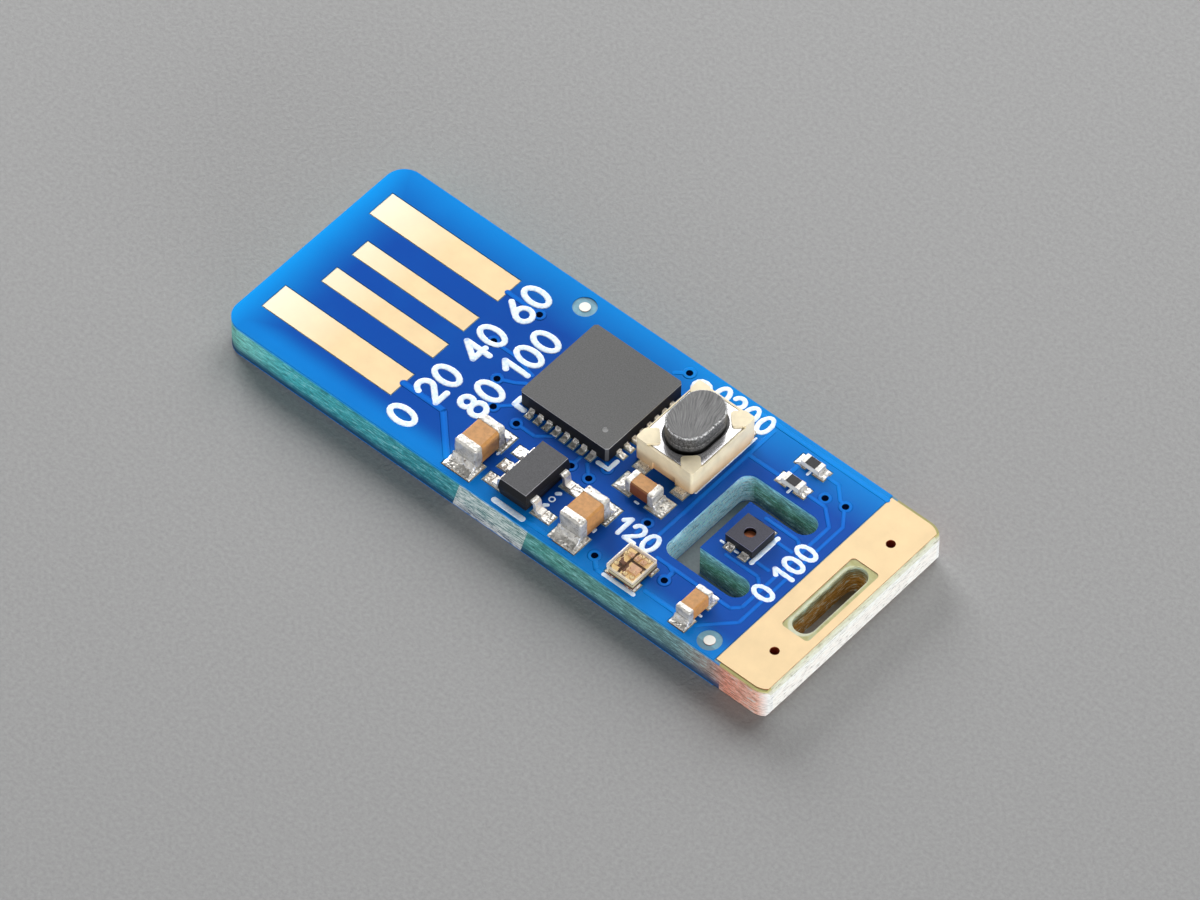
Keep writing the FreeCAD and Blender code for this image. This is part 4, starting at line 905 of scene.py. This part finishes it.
# Plain bars, ticks and corner marks beside the parts, by stroke width in millimetres
BARS = [
    (0.3, [[(7.2, -5.6), (8.8, -5.6)], [(4.38, -0.65), (4.38, -1.08), (4.9, -1.08)]]),
    (0.23, [[(13.38, -5.54), (15.02, -5.54)], [(17.7, -0.9), (17.7, 0.85)]]),
    (0.95, [[(9.82, 4.95), (9.88, 4.95)]]),
    (0.24, [[(9.2, -1.12), (9.78, -1.12), (9.78, -0.55)]]),
    (0.13, [
        [(16.37, 4.35), (16.37, 4.55)], [(16.37, 3.05), (16.37, 3.25)],
        [(11.53, -4.1), (11.53, -3.95)], [(5.65, -3.65), (5.65, -3.5)], [(11.8, -1.68), (11.95, -1.68)],
        [(17.8, -3.92), (17.95, -3.92)], [(17.8, -4.5), (17.95, -4.5)], [(15.95, -0.85), (16.1, -0.85)],
        [(16.75, -0.87), (16.9, -0.87)],
    ]),
    (0.2, [[(9.0, -3.58), (9.1, -3.5)], [(9.0, -4.4), (9.1, -4.32)]]),
    (0.07, [arc(9.04, -3.95, 0.13, 0.13, 0, 360, 14)]),
    (0.11, [[(13.43, 0.4), (13.43, 4.4)]]),
]


class MODULE_OT_print(Operator):
    """Plain white scale, signs and bars printed on the lacquer"""

    bl_idname = "module.print"
    bl_label = "Printed marks"

    def execute(self, context):
        ink = ink_material(context.scene.parts_look)
        for number, (start, size, gap, across, width, signs) in enumerate(ROWS):
            strokes = self.row(start, size, gap, across, signs)
            mesh = flat_strokes(strokes, width * MM, PRINT_HEIGHT, BOARD_TOP)
            add_piece(f"printed_row_{number + 1}", mesh, ink, "board")
        for number, (width, strokes) in enumerate(BARS):
            mesh = flat_strokes(strokes, width * MM, PRINT_HEIGHT, BOARD_TOP)
            add_piece(f"printed_bars_{number + 1}", mesh, ink, "board")
        return {"FINISHED"}

    def row(self, start, size, gap, across, signs):
        """Strokes of a row of signs, running across the board or along it."""
        strokes = []
        run = 0.0
        for sign in signs:
            width, parts = SIGNS[sign]
            for part in parts:
                points = [(run + u * size, v * size) for u, v in part]
                if across:
                    strokes.append([(start[0] - v, start[1] + u) for u, v in points])
                else:
                    strokes.append([(start[0] + u, start[1] + v) for u, v in points])
            run += width * size + gap
        return strokes


# Solder and small parts


# CAD nodes of solder, each replaced by a melted copy of itself
SOLDER = [
    "capacitor_solder", "resistor_solder", "microcontroller_solder", "regulator_solder", "button_solder",
    "status_led_solder", "sensor_solder",
]
CAPACITORS = ["input_capacitor", "output_capacitor", "bypass_capacitor", "filter_capacitor"]
RESISTORS = ["data_pullup_resistor", "clock_pullup_resistor"]


class MODULE_OT_solder(Operator):
    """Solder joints with a frozen, uneven skin"""

    bl_idname = "module.solder"
    bl_label = "Solder"

    def execute(self, context):
        bright = tin_material(
            context.scene.parts_look, "solder_reflowed", metal=0.85, roughness=0.34, speckle=0.75,
            side_painted_light=1.6, top_painted_light=0.9,
        )
        for name in SOLDER:
            mesh = melted(name, cell=0.03, swell=0.03, grain=0.12)
            piece = add_piece(f"{name}_joints", mesh, bright, "board")
            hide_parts(name)
        return {"FINISHED"}


class MODULE_OT_chips(Operator):
    """Capacitors and resistors: fired bodies with tinned end caps"""

    bl_idname = "module.chips"
    bl_label = "Capacitors and resistors"

    def execute(self, context):
        look = context.scene.parts_look
        orange = ceramic_material("orange_ceramic_fired", look.ceramic, look.ceramic_shaded_side)
        dress(orange, *[f"{name}_body" for name in CAPACITORS])
        white = linear("#E4E4DE")
        alumina = ceramic_material("white_alumina_fired", white, white)
        caps = tin_material(
            look, "tinned_cap_fired", metal=0.4, roughness=0.24, speckle=0.4, side_painted_light=0.72,
            top_painted_light=0.84,
        )
        for name in RESISTORS:
            film = f"{name}_film"
            dress(alumina, f"{name}_body")
            dress(compound_material("black_glaze_fired", linear("#242427"), linear("#8E8E8C"), film), film)
            dress(caps, f"{name}_ends")
        for name in CAPACITORS:
            mesh = melted(f"{name}_ends", cell=0.03, swell=0.02, grain=0.25, rounds=3)
            piece = add_piece(f"{name}_ends_dipped", mesh, caps, "board")
            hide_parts(f"{name}_ends")
        return {"FINISHED"}


class MODULE_OT_packages(Operator):
    """Moulded packages with their tinned leads"""

    bl_idname = "module.packages"
    bl_label = "Packages"

    def execute(self, context):
        look = context.scene.parts_look
        for name, title, tone in (
            ("microcontroller_package", "grey_compound_moulded", look.compound),
            ("regulator_package", "black_compound_moulded", look.compound_dark),
            ("sensor_package", "purple_compound_moulded", look.compound_purple),
        ):
            dress(compound_material(title, tone, look.compound_shaded_side, name), name)
        dress(
            tin_material(look, "tinned_copper_lead", metal=0.7, roughness=0.3, speckle=0.3, side_painted_light=1.6),
            "microcontroller_terminals", "microcontroller_thermal_pad", "regulator_leads",
            "sensor_terminals",
        )
        film = gold_material(context.scene.board_look, "copper_polymer_film", linear("#C9764A"))
        dress(film, "sensor_element")
        return {"FINISHED"}


class MODULE_OT_button(Operator):
    """Reset button: ivory base, satin cover and scuffed grey key"""

    bl_idname = "module.button"
    bl_label = "Reset button"

    def execute(self, context):
        look = context.scene.parts_look
        dress(nylon_material(look), "button_base")
        dress(steel_material("stainless_cover_stamped", linear("#E0DEE0"), roughness=0.18), "button_cover")
        steel = steel_material("spring_steel_rolled", linear("#B5B5B5"), roughness=0.25)
        low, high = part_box("button_dome")
        centre = (low + high) / 2
        # The section runs over the flat crown, down the slope to the rim and back inside
        rim = (high.x - low.x) / 2
        half = (high.z - low.z) / 2
        crown, thickness, skirt = 0.5 * MM, 0.05 * MM, 0.075 * MM
        section = [
            (0, half), (crown, half), (rim, -half), (rim - skirt, -half),
            (crown - thickness / 2, half - thickness), (0, half - thickness),
        ]
        dome = bmesh.new()
        spin_section(dome, centre, section, steps=32, closed=False)
        bmesh.ops.remove_doubles(dome, verts=dome.verts, dist=0.001 * MM)
        piece = add_piece("button_snap_dome", mesh_of(dome), steel, "board")
        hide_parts("button_dome")
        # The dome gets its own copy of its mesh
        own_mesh(piece)
        contact = tin_material(look, "tinned_brass_contact", metal=0.5, roughness=0.18, speckle=0.7)
        dress(contact, "button_contacts")
        dress(plunger_material(look), "button_plunger")
        return {"FINISHED"}


# Ends of the bond wires, on a chip and on the frame, in millimetres from the frame's middle
BONDS = [
    ((-0.33, 0.4), (-0.58, 0.37)), ((-0.33, 0.4), (-0.56, -0.33)), ((0.0, 0.4), (0.09, 0.62)),
    ((0.33, 0.4), (0.43, 0.62)), ((0.12, -0.2), (0.09, -0.51)), ((0.42, -0.2), (0.45, -0.49)),
]


class MODULE_OT_status_light(Operator):
    """Status light: clear block over its lead frame, chips and bond wires"""

    bl_idname = "module.status_light"
    bl_label = "Status light"

    def execute(self, context):
        board = context.scene.board_look
        dress(substrate_material(), "status_led_base")
        dress(frame_material(linear("#FCE2A8")), "status_led_frame")
        dress(gold_material(board, "gold_pad_plated", linear("#FFF3D0")), "status_led_pads")
        pink = linear("#EEC8AC")
        dress(ceramic_material("bare_chip_sawn", pink, pink), "status_led_chips")
        low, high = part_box("status_led_resin")
        block = bmesh.new()
        bmesh.ops.create_cube(block, size=1.0, matrix=Matrix.LocRotScale((low + high) / 2, None, high - low))
        bmesh.ops.bevel(
            block, geom=block.edges[:], offset=0.045 * MM, segments=2, affect="EDGES", profile=0.5,
            material=-1,
        )
        piece = add_piece("status_led_clear_block", mesh_of(block), resin_material(), "board")
        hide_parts("status_led_resin")
        self.bond(gold_material(board, "gold_bond_wire", linear("#FFF6CC")))
        return {"FINISHED"}

    def bond(self, gold):
        """Gold wires from the chips down to the frame, each with a flattened ball where it lands."""
        pad_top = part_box("status_led_frame")[1].z
        chip_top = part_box("status_led_chips")[1].z
        crest = chip_top + 0.12 * MM
        centre = box_middle("status_led_frame")
        curve = round_curve(0.015 * MM)
        balls = bmesh.new()
        flatten = Matrix.Scale(0.6, 4, (0, 0, 1))
        for start, stop in BONDS:
            way = [(start, chip_top), (start, crest), (stop, crest), (stop, pad_top)]
            points = [Vector((centre.x + x * MM, centre.y + y * MM, z)) for (x, y), z in way]
            spline = curve.splines.new("NURBS")
            spline.points.add(len(points) - 1)
            for point, place in zip(spline.points, points):
                point.co = (*place, 1)
            spline.order_u = 3
            spline.use_endpoint_u = True
            bmesh.ops.create_uvsphere(
                balls, u_segments=16, v_segments=8, radius=0.12 * MM,
                matrix=Matrix.Translation(points[-1]) @ flatten,
            )
        add_piece("status_led_bond_balls", mesh_of(balls), gold, "board")
        add_piece("status_led_bond_wires", mesh_of_curve(curve), gold, "board")


class MODULE_PT_panel(Panel):
    """Steps of the sensor board's looks, in order"""

    bl_label = "Sensor Board"
    bl_idname = "MODULE_PT_panel"
    bl_space_type = "VIEW_3D"
    bl_region_type = "UI"
    bl_category = "Sensor Board"

    def draw(self, context):
        for operator in OPERATORS:
            self.layout.operator(operator.bl_idname)
        for look in (context.scene.board_look, context.scene.parts_look, context.scene.stage_look):
            box = self.layout.box()
            for name in look.bl_rna.properties.keys():
                if name not in ("name", "rna_type"):
                    box.prop(look, name)


OPERATORS = [
    MODULE_OT_stage, MODULE_OT_bare_board, MODULE_OT_copper, MODULE_OT_print, MODULE_OT_solder,
    MODULE_OT_chips, MODULE_OT_packages, MODULE_OT_button, MODULE_OT_status_light,
]
CLASSES = [BoardLook, PartsLook, StageLook] + OPERATORS + [MODULE_PT_panel]


def register():
    for cls in CLASSES:
        bpy.utils.register_class(cls)
    bpy.types.Scene.board_look = PointerProperty(type=BoardLook)
    bpy.types.Scene.parts_look = PointerProperty(type=PartsLook)
    bpy.types.Scene.stage_look = PointerProperty(type=StageLook)


def unregister():
    del bpy.types.Scene.stage_look
    del bpy.types.Scene.parts_look
    del bpy.types.Scene.board_look
    for cls in reversed(CLASSES):
        bpy.utils.unregister_class(cls)


def main():
    register()
    bpy.ops.module.stage()
    bpy.ops.module.bare_board()
    bpy.ops.module.copper()
    bpy.ops.module.print()
    bpy.ops.module.solder()
    bpy.ops.module.chips()
    bpy.ops.module.packages()
    bpy.ops.module.button()
    bpy.ops.module.status_light()


if __name__ == "__main__":
    main()
